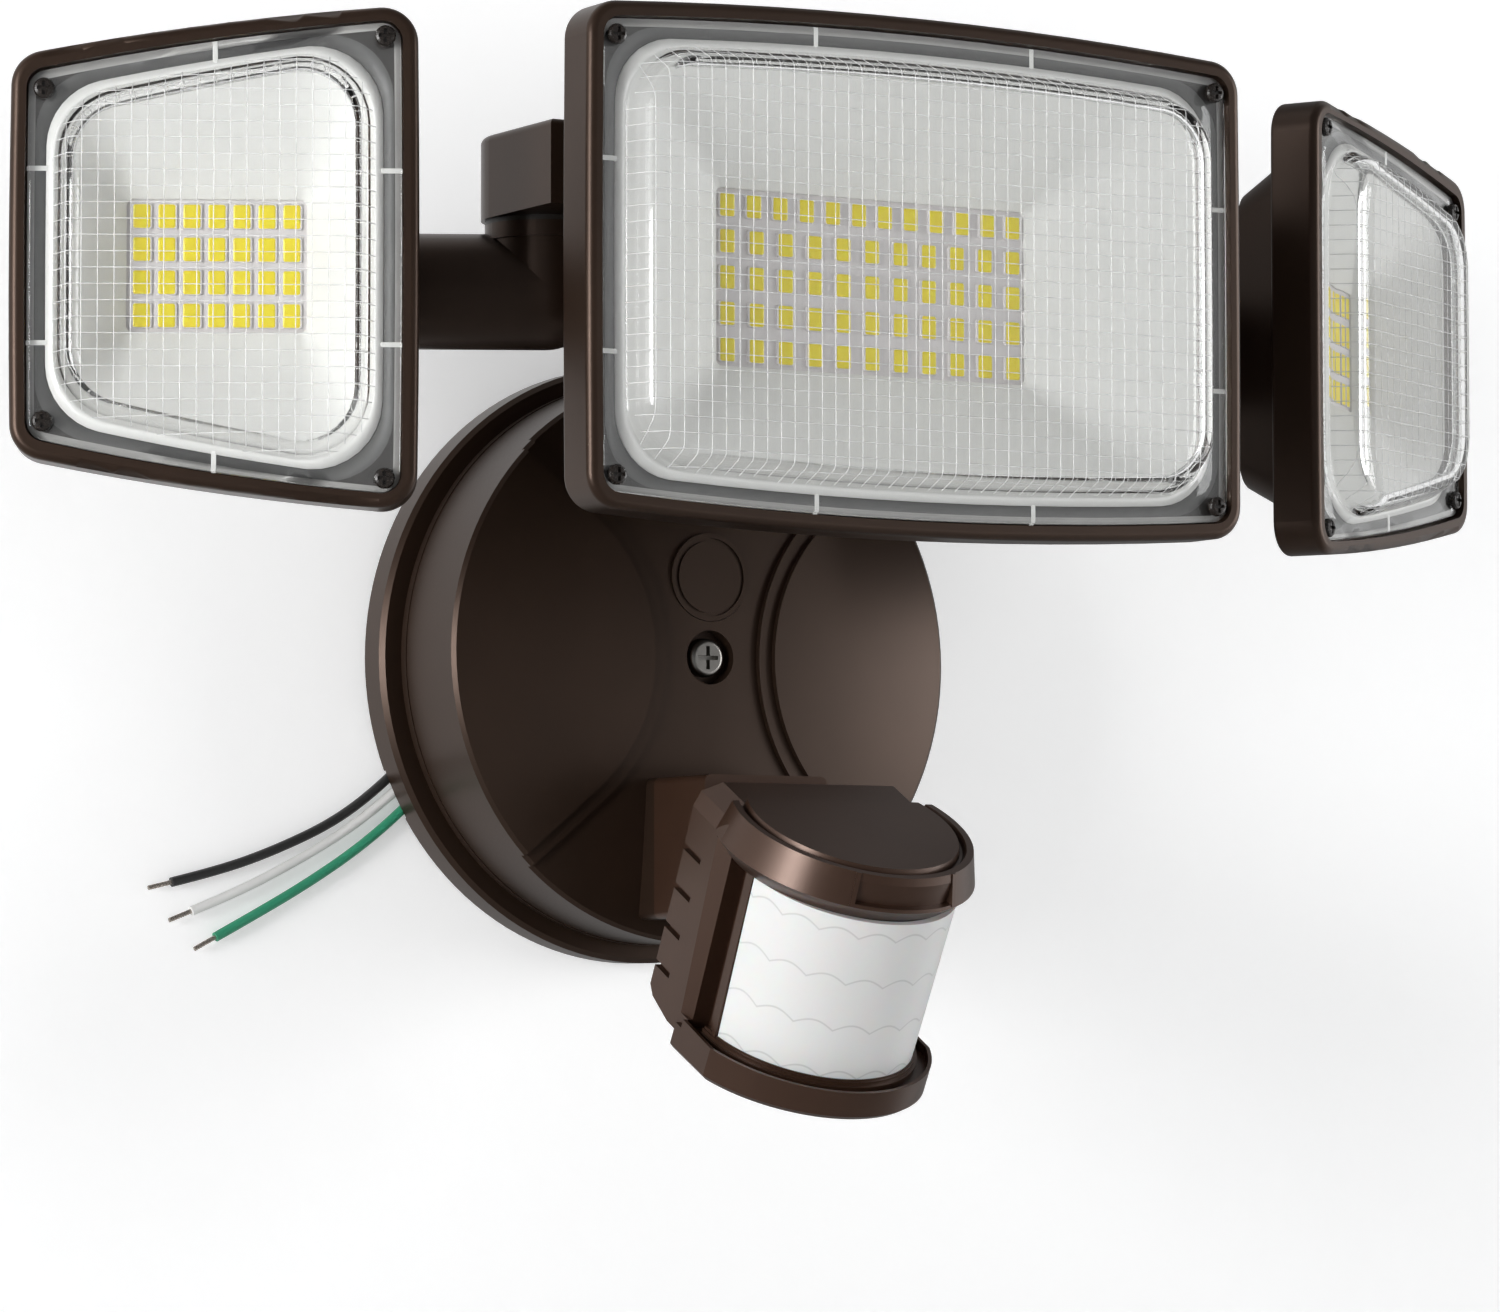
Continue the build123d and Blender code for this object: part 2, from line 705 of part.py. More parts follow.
def make_head_screws(size):
    screws = []
    for x, z in screw_corners(size):
        head = rod(head_screw_head, (x, lens_recess - head_screw_head_height, z), (x, lens_recess, z))
        shank = rod(head_screw_radius, (x, lens_recess, z), (x, lens_recess + head_screw_length, z))
        screws.append(head + shank)
    return screws


def make_centre_housing():
    """Housing of the centre head, with the trunnions that turn in the yoke's ears."""
    housing = make_housing(centre_head)
    y, z = pivot_y + centre_face, pivot_height - centre_height
    for side in (-1, 1):
        root = (side * trunnion_root, y, z)
        housing += rod(trunnion_radius, root, (side * (ear_inner - 0.6), y, z))
        housing += rod(trunnion_pin_radius, root, (side * (ear_inner + bush_length - 0.5), y, z))
    return housing


def make_side_housing():
    """Housing of a side head, with the barrel that turns on the arm's journal."""
    housing = make_housing(side_head)
    axis_z = arm_height - side_height
    half = barrel_length / 2
    saddle = block((-half + 1, half - 1), (side_head.back_depth - 1, side_axis_depth),
                   (axis_z - barrel_radius + 2, axis_z + barrel_radius - 2))
    housing += saddle
    housing += rod(barrel_radius, (-half, side_axis_depth, axis_z), (half, side_axis_depth, axis_z))
    bore = journal_radius + pivot_clearance
    return housing - rod(bore, (-half - 1, side_axis_depth, axis_z), (half + 1, side_axis_depth, axis_z))


def place_centre(part):
    return Pos(0, -centre_face, centre_height) * part


def place_right(part):
    turn = math.radians(side_turn)
    x, y, _ = arm_point(arm_reach)
    face = (x + side_axis_depth * math.sin(turn), y - side_axis_depth * math.cos(turn), side_height)
    return Location(face, (0, 0, side_turn)) * part


# ---- motion sensor, in its own frame ------------------------------------------------------------


def d_plan(radius, half_width, back, setback=0.0):
    """D-shaped plan: a round front about the lens axis and straight sides to the back."""
    round_front = Pos(0, setback) * Circle(radius)
    sides = Pos(0, (setback + back) / 2) * Rectangle(2 * half_width, back - setback)
    keep = Pos(0, back - 50) * Rectangle(2 * half_width, 100)
    return (round_front + sides) & keep


def tier(plan, low, high):
    return extrude(Pos(0, 0, low) * plan, amount=high - low)


def make_visor():
    """Hooded roof: the brow leans in from its widest edge, over a curved-under lip."""
    low, edge, top = sensor_lens_height, sensor_lens_height + visor_brow, visor_height
    profile = make_face(Polyline(
        (0, low), (sensor_lens_radius + 0.8, low), (visor_radius - 0.8, edge - 0.9), (visor_radius, edge),
        (visor_top_radius, top), (roof_panel_radius + 1.2, top),
        (roof_panel_radius + 0.6, top - roof_groove), (roof_panel_radius, top - roof_groove),
        (roof_panel_radius - 0.6, top + 0.4), (0, top + 0.4), close=True))
    hood = revolve(Plane.XZ * profile, axis=Axis.Z)
    hood -= brow_panel(edge + 0.7, top - 0.5)
    rib = extrude(Plane.XZ * make_face(Polyline(
        (visor_top_radius - 0.8, edge + 0.3), (visor_radius + 0.1, edge + 0.3),
        (visor_top_radius + 0.3, top), (visor_top_radius - 0.8, top), close=True)),
        amount=visor_rib_width / 2, both=True)
    for side in (-1, 1):
        hood += Rot(0, 0, -90 + side * visor_rib_angle) * rib
    hood = Pos(0, visor_setback, 0) * hood
    hood &= block((-40, 40), (-40, sensor_split), (0, 60))
    end = block((visor_end, 40), (visor_end_start, sensor_split), (0, 60))
    return hood - end - mirrored(end)


def brow_panel(low, high):
    """Upright recess in the middle of the brow, between the two ribs."""
    ring = tier(Circle(visor_radius + 5) - Circle(visor_panel_radius), low, high)
    reach = 2 * visor_radius
    half = reach * math.tan(math.radians(visor_rib_angle))
    wedge = tier(make_face(Polyline((0, 0), (half, -reach), (-half, -reach), close=True)), low, high)
    return ring & wedge


def make_chin():
    """Rimmed channel around the stepped foot of the lens, deeper at the back than in front."""
    body = tier(d_plan(chin_radius, chin_half_width, chin_back), -chin_height - 5, -chin_rim_sink)
    body &= extrude(Plane.YZ * make_face(Polyline(
        (-chin_radius - 1, 0), (-chin_radius - 1, -chin_height), (chin_back, -chin_height - chin_droop),
        (chin_back, 0), close=True)), amount=chin_radius + 1, both=True)
    low_edges = body.faces().sort_by(Axis.Z)[0].edges().filter_by(
        lambda edge: edge.center().Y < chin_back - 1)
    body = chamfer(low_edges, 1.0)
    heel = block((-sensor_half_width, sensor_half_width), (chin_back - 2, sensor_split),
                 (rear_bottom, -chin_rim_sink))
    inner = d_plan(chin_radius - chin_rim, chin_half_width - chin_rim, window_front)
    notch = block((sensor_half_width, chin_radius), (window_front, chin_back), (-chin_channel_sink, 0))
    body = body - notch - mirrored(notch) + heel - tier(inner, -chin_channel_sink, 0)
    for radius, sink in chin_rings:
        ring = Circle(radius) & Pos(0, window_front - 50) * Rectangle(100, 100)
        body += tier(ring, -chin_channel_sink - 1, -sink)
    return body


def window_frame(lean):
    """Right-hand side of the lens window: bevel, deep channel and fine steps up to the lens."""
    bevel_x = sensor_half_width - window_bevel
    front = window_front + lean
    points = [(sensor_half_width, sensor_split), (sensor_half_width, window_bevel_start + 1.8 * lean),
              (bevel_x, front), (window_floor, front)]
    lens_edge = sensor_lens_back + lean
    first = lens_edge + window_step_count * window_step_pitch
    points += [(window_floor, first)]
    for index in range(window_step_count):
        x, y = window_foot + index * window_step, first - index * window_step_pitch
        points += [(x, y), (x, y - window_step_pitch)]
    points += [(sensor_cavity_radius, lens_edge), (sensor_cavity_radius, sensor_split)]
    return make_face(Polyline(*points, close=True))


def make_front_shell():
    floor = -chin_channel_sink
    foot, head = window_frame(0), window_frame(sensor_lens_lean)
    posts = loft([foot, Pos(0, 0, sensor_lens_height) * head], ruled=True)
    posts += tier(foot, floor - 1, 0) + tier(head, sensor_lens_height, sensor_lens_height + 2)
    posts += mirrored(posts)
    first = sensor_lens_back + window_step_count * window_step_pitch
    channel = block((window_floor, chin_half_width - chin_rim), (first, window_front), (floor, 1))
    chin = make_chin() - channel - mirrored(channel)
    shell = make_visor() + chin + posts
    cavity = d_plan(sensor_cavity_radius, sensor_cavity_radius, sensor_split + 1)
    shell -= tier(cavity, -chin_height + chin_floor, visor_height - sensor_wall)
    for x in dial_places():
        shell -= rod(dial_radius + running_gap, (x, dial_setback, -chin_height - 1),
                     (x, dial_setback, -chin_height + dial_height + 0.2))
        shell -= rod(dial_shaft_radius + running_gap, (x, dial_setback, -chin_height - 1),
                     (x, dial_setback, 0))
    return shell


def make_rear_shell():
    side = make_face(Polyline(
        (sensor_split, rear_bottom), (sensor_back - 3, -3.4), (sensor_back - 1, -1.6),
        (sensor_back, sensor_pivot_z),
        (sensor_back + 1, sensor_shoulder), (sensor_back + 0.8, sensor_roof - 2.6),
        (sensor_back - 0.4, sensor_roof), (sensor_split, sensor_roof), close=True))
    shell = extrude(Plane.YZ * side, amount=sensor_half_width, both=True)
    half = [(sensor_half_width, -10), (sensor_half_width, sensor_shoulder),
            (sensor_half_width - 0.9, sensor_roof - 2.6), (sensor_half_width - 4.9, sensor_roof + 0.1)]
    section = make_face(Polyline(*half, *[(-x, z) for x, z in reversed(half)], close=True))
    shell &= slab(section, -5, 40)
    pocket = bracket_half_width + bracket_gap
    shell -= block((-pocket, pocket), (sensor_split + sensor_wall, 40), (-20, sensor_shoulder))
    for side_x in (-1, 1):
        for index in range(vent_count):
            z = vent_first_height + index * vent_pitch
            vent = Box(2 * vent_depth, vent_length, vent_width)
            shell -= Pos(side_x * sensor_half_width, sensor_back - vent_length / 2 + 0.4, z) * vent
    bore = sensor_half_width - sensor_pin_inset + 0.3
    return shell - rod(sensor_pin_radius + 0.05, (-bore, sensor_pivot_y, sensor_pivot_z),
                       (bore, sensor_pivot_y, sensor_pivot_z))


def make_sensor_lens():
    ring = Circle(sensor_lens_radius) - Circle(sensor_lens_radius - sensor_lens_wall)
    lens = tier(ring, 0, sensor_lens_height)
    back = sensor_lens_back - sensor_lens_gap
    side = make_face(Polyline((back, 0), (back + sensor_lens_lean, sensor_lens_height),
                              (-40, sensor_lens_height), (-40, 0), close=True))
    return lens & extrude(Plane.YZ * side, amount=sensor_lens_radius + 1, both=True)


def make_sensor_pin():
    half = sensor_half_width - sensor_pin_inset
    return rod(sensor_pin_radius, (-half, sensor_pivot_y, sensor_pivot_z),
               (half, sensor_pivot_y, sensor_pivot_z))


def make_sensor_board():
    return block((-17, 17), (sensor_split - 1.6, sensor_split), (2, 36))


def make_infrared_element():
    can = rod(4.6, (0, sensor_split - 1.6, 18), (0, sensor_split - 5.8, 18))
    return can + rod(5.1, (0, sensor_split - 1.6, 18), (0, sensor_split - 2.2, 18))


def dial_places():
    return [index * dial_spacing for index in (-1, 0, 1)]


def make_dial(x):
    low = -chin_height - 0.4
    knob = rod(dial_radius, (x, dial_setback, low), (x, dial_setback, low + dial_height))
    knob -= Pos(x, dial_setback, low) * Box(1.1, 6.0, 1.6)
    return knob + rod(dial_shaft_radius, (x, dial_setback, low + dial_height - 0.1),
                      (x, dial_setback, -chin_height + chin_floor))


def place_sensor(part):
    return Location(sensor_origin, (sensor_tilt, 0, 0)) * part


def sensor_pivot():
    """The sensor's tilt axis as y and z in the light's frame."""
    point = Vector(0, sensor_pivot_y, sensor_pivot_z).rotate(Axis.X, sensor_tilt) + Vector(*sensor_origin)
    return point.Y, point.Z


def make_sensor_bracket():
    pivot_at_y, pivot_at_z = sensor_pivot()
    arm = rounded_box((-bracket_half_width, bracket_half_width), (-bracket_front, -bracket_seat),
                      (bracket_bottom, bracket_top), bracket_corner)
    arm += block((-bracket_half_width, bracket_half_width), (pivot_at_y, -bracket_front + 1),
                 (pivot_at_z - sensor_lug_radius, pivot_at_z + sensor_lug_radius))
    arm += rod(sensor_lug_radius, (-bracket_half_width, pivot_at_y, pivot_at_z),
               (bracket_half_width, pivot_at_y, pivot_at_z))
    arm -= rod(sensor_pin_radius + pivot_clearance, (-bracket_half_width - 1, pivot_at_y, pivot_at_z),
               (bracket_half_width + 1, pivot_at_y, pivot_at_z))
    for hole in screw_pilots(bracket_screw_places()):
        arm -= hole
    return arm


# ---- supply wires -------------------------------------------------------------------------------


def wire_radii(points):
    """Bend radius at each inner point of a route: 0.45 of the shorter run over tan(half the turn)."""
    radii = []
    for before, corner, after in zip(points, points[1:], points[2:]):
        arriving, leaving = Vector(*corner) - Vector(*before), Vector(*after) - Vector(*corner)
        half_turn = math.radians(arriving.get_angle(leaving) / 2)
        radii.append(0.45 * min(arriving.length, leaving.length) / math.tan(half_turn))
    return radii


def make_wire(colour, points):
    radii = wire_radii(points)
    path = FilletPolyline(*points, radius=radii)
    start = Plane(origin=points[0], z_dir=Vector(*points[1]) - Vector(*points[0]))
    tube = sweep(start * Circle(wire_radius), path=path)
    expected = math.pi * wire_radius ** 2 * path.length
    print(f"wire {colour}: length {path.length:.1f}, volume {tube.volume:.1f} of {expected:.1f}, "
          f"radii {[round(radius, 1) for radius in radii]}")
    return tube


def make_conductor(points):
    end, before = Vector(*points[-1]), Vector(*points[-2])
    tip = end + (end - before).normalized() * conductor_length
    return rod(conductor_radius, end, tip)


# ---- export -------------------------------------------------------------------------------------


def group(solids):
    return Compound(children=list(solids))


def head_nodes(name, size, housing, place):
    makers = {"lens": make_lens, "gasket": make_head_gasket, "reflector": make_reflector,
              "led_board": make_led_board}
    nodes = {f"{name}_housing": place(housing)}
    for part_name, maker in makers.items():
        nodes[f"{name}_{part_name}"] = place(maker(size))
    nodes[f"{name}_led_chips"] = group(place(chip) for chip in make_led_chips(size))
    nodes[f"{name}_screws"] = group(place(screw) for screw in make_head_screws(size))
    return nodes


def build_nodes():
    nodes = {
        "canopy": make_canopy(),
        "wall_gasket": make_wall_gasket(),
        "mounting_strap": make_mounting_strap(),
        "canopy_screw": make_canopy_screw(),
        "knockout_plug": make_knockout_plug(),
        "wire_grommet": make_wire_grommet(),
        "neck_screws": group(inside_screws(foot_screw_places())),
        "bracket_screws": group(inside_screws(bracket_screw_places())),
        "yoke": make_yoke(),
        "pivot_bushes": group([make_pivot_bush(-1), make_pivot_bush(1)]),
    }
    for name, maker in {"elbow": make_elbow, "swivel_washer": make_swivel_washer,
                        "swivel_bolt": make_swivel_bolt, "tilt_bolt": make_tilt_bolt}.items():
        right = maker()
        nodes[f"right_{name}"] = right
        nodes[f"left_{name}"] = mirrored(right)
    nodes |= head_nodes("centre", centre_head, make_centre_housing(), place_centre)
    side_housing = make_side_housing()
    nodes |= head_nodes("right", side_head, side_housing, place_right)
    nodes |= head_nodes("left", side_head, side_housing, lambda part: mirrored(place_right(part)))
    nodes["sensor_bracket"] = make_sensor_bracket()
    for name, maker in {"sensor_front_shell": make_front_shell, "sensor_rear_shell": make_rear_shell,
                        "sensor_lens": make_sensor_lens, "sensor_pin": make_sensor_pin,
                        "sensor_board": make_sensor_board,
                        "infrared_element": make_infrared_element}.items():
        nodes[name] = place_sensor(maker())
    for name, x in zip(("time_dial", "range_dial", "lux_dial"), dial_places()):
        nodes[name] = place_sensor(make_dial(x))
    for colour, points in wire_routes.items():
        nodes[f"{colour}_wire"] = make_wire(colour, points)
        nodes[f"{colour}_conductor"] = make_conductor(points)
    return nodes


os.makedirs("parts", exist_ok=True)
for node_name, node in build_nodes().items():
    export_step(node, f"parts/{node_name}.step")
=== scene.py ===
import bpy
import bmesh
import json
import math
from mathutils import Matrix, Vector


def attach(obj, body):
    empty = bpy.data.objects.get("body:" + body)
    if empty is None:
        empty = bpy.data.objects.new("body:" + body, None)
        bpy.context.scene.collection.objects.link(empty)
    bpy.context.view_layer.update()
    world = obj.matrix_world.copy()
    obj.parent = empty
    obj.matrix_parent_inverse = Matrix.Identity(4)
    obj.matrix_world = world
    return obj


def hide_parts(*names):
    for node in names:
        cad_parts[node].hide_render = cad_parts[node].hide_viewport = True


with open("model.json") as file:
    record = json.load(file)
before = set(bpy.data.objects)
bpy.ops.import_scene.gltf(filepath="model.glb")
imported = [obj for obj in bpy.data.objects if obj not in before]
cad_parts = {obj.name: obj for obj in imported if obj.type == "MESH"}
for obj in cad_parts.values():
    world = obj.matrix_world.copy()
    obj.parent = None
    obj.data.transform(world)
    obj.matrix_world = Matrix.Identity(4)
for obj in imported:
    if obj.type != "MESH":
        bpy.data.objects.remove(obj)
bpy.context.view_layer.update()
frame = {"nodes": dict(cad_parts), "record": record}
nodes = frame["nodes"]
mm = 0.001
print("frame loaded")


def addNode(tree, kind, settings=None, inputs=None):
    node = tree.nodes.new(kind)
    for name, value in (settings or {}).items():
        setattr(node, name, value)
    for name, value in (inputs or {}).items():
        if isinstance(value, bpy.types.NodeSocket):
            tree.links.new(value, node.inputs[name])
        else:
            node.inputs[name].default_value = value
    return node


def colour(hexCode):
    # sRGB hex to linear
    channels = [int(hexCode[i:i + 2], 16) / 255 for i in (1, 3, 5)]
    linear = [c / 12.92 if c <= 0.04045 else ((c + 0.055) / 1.055) ** 2.4 for c in channels]
    return (*linear, 1.0)


def meshObject(name, vertices, faces, smooth=True):
    mesh = bpy.data.meshes.new(name)
    mesh.from_pydata(vertices, [], faces)
    shell = bmesh.new()
    shell.from_mesh(mesh)
    bmesh.ops.recalc_face_normals(shell, faces=shell.faces)
    shell.to_mesh(mesh)
    shell.free()
    mesh.polygons.foreach_set("use_smooth", [smooth] * len(mesh.polygons))
    piece = bpy.data.objects.new(name, mesh)
    bpy.context.scene.collection.objects.link(piece)
    return piece


def plainMesh(piece, name):
    # what the modifiers make, as a mesh of its own
    bpy.context.view_layer.update()
    evaluated = piece.evaluated_get(bpy.context.evaluated_depsgraph_get())
    mesh = bpy.data.meshes.new_from_object(evaluated)
    result = bpy.data.objects.new(name, mesh)
    bpy.context.scene.collection.objects.link(result)
    bpy.data.objects.remove(piece)
    return result


cameraView = {
    "turnDegrees": 31.28,       # to the left of the light, turned right towards it
    "riseDegrees": 3.495,       # a little below it, tipped up
    "rollDegrees": -0.074,
    "distance": 1.2728,
    "centreRight": -0.02775,    # where the canopy's centre falls, from the middle of the view
    "centreUp": -0.00226,
    "focalPixels": 5814,
    "imageWidth": 1500,
    "sensorWidth": 36.0,
}


def makeCamera(view):
    turn, rise = math.radians(view["turnDegrees"]), math.radians(view["riseDegrees"])
    roll = math.radians(view["rollDegrees"])
    look = Vector((math.sin(turn) * math.cos(rise), math.cos(turn) * math.cos(rise), math.sin(rise)))
    level = Vector((math.cos(turn), -math.sin(turn), 0))
    upright = level.cross(look)
    right = level * math.cos(roll) + upright * math.sin(roll)
    up = upright * math.cos(roll) - level * math.sin(roll)
    stand = -look * view["distance"] - right * view["centreRight"] - up * view["centreUp"]
    lens = bpy.data.cameras.new("camera")
    lens.sensor_width = view["sensorWidth"]
    lens.lens = view["focalPixels"] / view["imageWidth"] * view["sensorWidth"]
    camera = bpy.data.objects.new("camera", lens)
    bpy.context.scene.collection.objects.link(camera)
    camera.matrix_world = Matrix((
        (right.x, up.x, -look.x, stand.x),
        (right.y, up.y, -look.y, stand.y),
        (right.z, up.z, -look.z, stand.z),
        (0, 0, 0, 1)))
    bpy.context.scene.camera = camera


makeCamera(cameraView)
print("camera set")


def newMaterial(name):
    material = bpy.data.materials.new(name)
    material.use_nodes = True
    material.node_tree.nodes.clear()
    return material, material.node_tree


def grainFinish(name, look):
    # mottled colour, uneven gloss and a fine raised grain; sizes in millimetres, and the grain
    # somewhat coarser than the real one, which wouldn't show at this distance
    material, tree = newMaterial(name)
    place = addNode(tree, "ShaderNodeTexCoord").outputs["Object"]
    mottle = addNode(tree, "ShaderNodeTexNoise", inputs={
        "Vector": place, "Scale": 1 / (look["mottle"] * mm), "Detail": 4.0})
    grain = addNode(tree, "ShaderNodeTexNoise", inputs={
        "Vector": place, "Scale": 1 / (look["grain"] * mm), "Detail": 2.0, "Roughness": 0.55})
    tint = addNode(tree, "ShaderNodeMix", {"data_type": "RGBA"}, {
        0: mottle.outputs["Fac"], 6: colour(look["dark"]), 7: colour(look["light"])})
    gloss = addNode(tree, "ShaderNodeMapRange", inputs={
        "Value": grain.outputs["Fac"], "To Min": look["rough"][0], "To Max": look["rough"][1]})
    bump = addNode(tree, "ShaderNodeBump", inputs={
        "Height": grain.outputs["Fac"], "Distance": look["height"] * mm,
        "Strength": look.get("bump", 0.5)})
    shader = addNode(tree, "ShaderNodeBsdfPrincipled", inputs={
        "Base Color": tint.outputs[2], "Roughness": gloss.outputs["Result"],
        "Normal": bump.outputs["Normal"], "Metallic": look.get("metal", 0.0)})
    for socket in ("Coat Weight", "Coat Roughness"):
        if socket in look:
            shader.inputs[socket].default_value = look[socket]
    addNode(tree, "ShaderNodeOutputMaterial", inputs={"Surface": shader.outputs[0]})
    return material


finishes = {
    # electrostatic powder with fine bronze flake over die-cast aluminium: satin, warm where it
    # catches the light and nearly black where it doesn't
    "bronze_powder_coat": {"dark": "#35271e", "light": "#403026", "mottle": 24, "grain": 0.55,
                           "rough": (0.32, 0.4), "height": 0.014, "bump": 0.3, "metal": 0.6},
    # injection-moulded with bronze pigment, fine spark-eroded grain
    "bronze_plastic": {"dark": "#412c21", "light": "#4c3629", "mottle": 18, "grain": 0.4,
                       "rough": (0.3, 0.38), "height": 0.012, "bump": 0.3, "metal": 0.5,
                       "Coat Weight": 0.15, "Coat Roughness": 0.28},
    # moulded nylon with a dull skin: dark, and hardly shiny
    "black_plastic": {"dark": "#1f1a17", "light": "#2a2420", "mottle": 9, "grain": 0.35,
                      "rough": (0.42, 0.55), "height": 0.015},
    # acetal, turned: cream and waxy
    "bush_plastic": {"dark": "#cdc8bb", "light": "#dbd7cc", "mottle": 6, "grain": 0.4,
                     "rough": (0.35, 0.45), "height": 0.01},
    # closed-cell foam with an open-pored cut edge
    "wall_foam": {"dark": "#141414", "light": "#242424", "mottle": 3, "grain": 0.6,
                  "rough": (0.8, 0.95), "height": 0.12},
    # moulded rubber, slightly dusty
    "black_rubber": {"dark": "#111111", "light": "#1c1c1c", "mottle": 5, "grain": 0.5,
                     "rough": (0.55, 0.7), "height": 0.02},
    # zinc plate on steel: bright, with blurred reflections
    "zinc_steel": {"dark": "#9d9d98", "light": "#b7b7b1", "mottle": 7, "grain": 0.5,
                   "rough": (0.28, 0.42), "height": 0.006, "metal": 1.0},
    # passivated stainless, satin: mid grey with soft bright edges
    "screw_steel": {"dark": "#86837f", "light": "#9a9793", "mottle": 3, "grain": 0.3,
                    "rough": (0.26, 0.38), "height": 0.005, "metal": 1.0},
    # satin white moulding that throws the light forward
    "reflector_white": {"dark": "#dededb", "light": "#e8e8e5", "mottle": 30, "grain": 1.2,
                        "rough": (0.3, 0.4), "height": 0.01, "bump": 0.2},
    # white solder mask, slightly uneven
    "led_board_white": {"dark": "#cbc7c6", "light": "#d8d4d3", "mottle": 5, "grain": 0.6,
                        "rough": (0.4, 0.5), "height": 0.01},
    # glass fibre board under green solder mask, slightly glossy over the weave
    "circuit_board": {"dark": "#12432a", "light": "#1a5a38", "mottle": 2, "grain": 0.5,
                      "rough": (0.35, 0.5), "height": 0.03},
    # nickel-plated can, drawn from sheet: warm grey, with fairly sharp reflections
    "sensor_can": {"dark": "#a7a299", "light": "#b9b4ab", "mottle": 4, "grain": 0.4,
                   "rough": (0.2, 0.3), "height": 0.004, "metal": 1.0},
    # moulded acetal dials, cream and satin
    "dial_plastic": {"dark": "#cfcabd", "light": "#dbd7cb", "mottle": 4, "grain": 0.4,
                     "rough": (0.4, 0.5), "height": 0.01},
    # extruded vinyl: smooth and satin, in one flat colour for each wire
    "black_insulation": {"dark": "#262626", "light": "#333333", "mottle": 6, "grain": 0.5,
                         "rough": (0.4, 0.5), "height": 0.01},
    "white_insulation": {"dark": "#e6e6e4", "light": "#f1f1ef", "mottle": 6, "grain": 0.5,
                         "rough": (0.4, 0.5), "height": 0.01},
    "green_insulation": {"dark": "#2f8a67", "light": "#3c9d79", "mottle": 6, "grain": 0.5,
                         "rough": (0.4, 0.5), "height": 0.01},
    # moulded silicone rubber, satin and soft to the eye: the strip under the bezel, the dark line
    # beside it and the broad ring; the dark line widens at the corners into painted shade round the
    # screw bosses
    "pale_silicone": {"dark": "#959492", "light": "#a7a6a3", "mottle": 6, "grain": 0.5,
                      "rough": (0.4, 0.5), "height": 0.01},
    "smoked_silicone": {"dark": "#120f0d", "light": "#221d1a", "mottle": 3, "grain": 0.5,
                        "rough": (0.35, 0.5), "height": 0.02},
    "grey_silicone": {"dark": "#484847", "light": "#565655", "mottle": 6, "grain": 0.5,
                      "rough": (0.4, 0.5), "height": 0.01},
    # black oxide on steel: dark, with a small hard glint
    "black_oxide": {"dark": "#1a1614", "light": "#2b2521", "mottle": 2, "grain": 0.3,
                    "rough": (0.22, 0.32), "height": 0.005},
    # tinned copper strands: silvery with a hint of the copper under the tin
    "tinned_copper": {"dark": "#b3aaa1", "light": "#cdc5bc", "mottle": 0.8, "grain": 0.3,
                      "rough": (0.22, 0.34), "height": 0.004, "metal": 1.0},
}
materials = {slot: grainFinish(slot, look) for slot, look in finishes.items()}


def clearPlastic(name, look):
    # moulded polycarbonate: bends what lies behind it, and lets the lamps through
    material, tree = newMaterial(name)
    place = addNode(tree, "ShaderNodeTexCoord").outputs["Object"]
    swirl = addNode(tree, "ShaderNodeTexNoise", inputs={
        "Vector": place, "Scale": 1 / (look["mottle"] * mm), "Detail": 3.0})
    bump = addNode(tree, "ShaderNodeBump", inputs={
        "Height": swirl.outputs["Fac"], "Distance": look["height"] * mm, "Strength": look["bump"]})
    shader = addNode(tree, "ShaderNodeBsdfPrincipled", inputs={
        "Base Color": colour(look["tint"]), "Roughness": look["rough"], "IOR": look["ior"],
        "Normal": bump.outputs["Normal"], "Transmission Weight": 1.0})
    rays = addNode(tree, "ShaderNodeLightPath")
    lampRay = addNode(tree, "ShaderNodeMath", {"operation": "MAXIMUM"}, {
        0: rays.outputs["Is Shadow Ray"], 1: rays.outputs["Is Diffuse Ray"]})
    passing = addNode(tree, "ShaderNodeBsdfTransparent")
    glass = addNode(tree, "ShaderNodeMixShader", inputs={
        0: lampRay.outputs[0], 1: shader.outputs[0], 2: passing.outputs[0]})
    addNode(tree, "ShaderNodeOutputMaterial", inputs={"Surface": glass.outputs[0]})
    return material


def prismHighlightFinish(name, look):
    # the rounded crest between two prisms, drawn as a white hairline: the white is a painted highlight
    # for the light the clear crest catches
    material, tree = newMaterial(name)
    place = addNode(tree, "ShaderNodeTexCoord").outputs["Object"]
    broken = addNode(tree, "ShaderNodeTexNoise", inputs={
        "Vector": place, "Scale": 1 / (look["mottle"] * mm), "Detail": 2.0})
    highlightCover = addNode(tree, "ShaderNodeMapRange", inputs={
        "Value": broken.outputs["Fac"], "From Min": look["spread"][0], "From Max": look["spread"][1],
        "To Min": look["highlightCover"][0], "To Max": look["highlightCover"][1]})
    shader = addNode(tree, "ShaderNodeBsdfPrincipled", inputs={
        "Base Color": colour(look["tint"]), "Roughness": look["rough"], "IOR": look["ior"],
        "Alpha": highlightCover.outputs["Result"]})
    addNode(tree, "ShaderNodeOutputMaterial", inputs={"Surface": shader.outputs[0]})
    return material


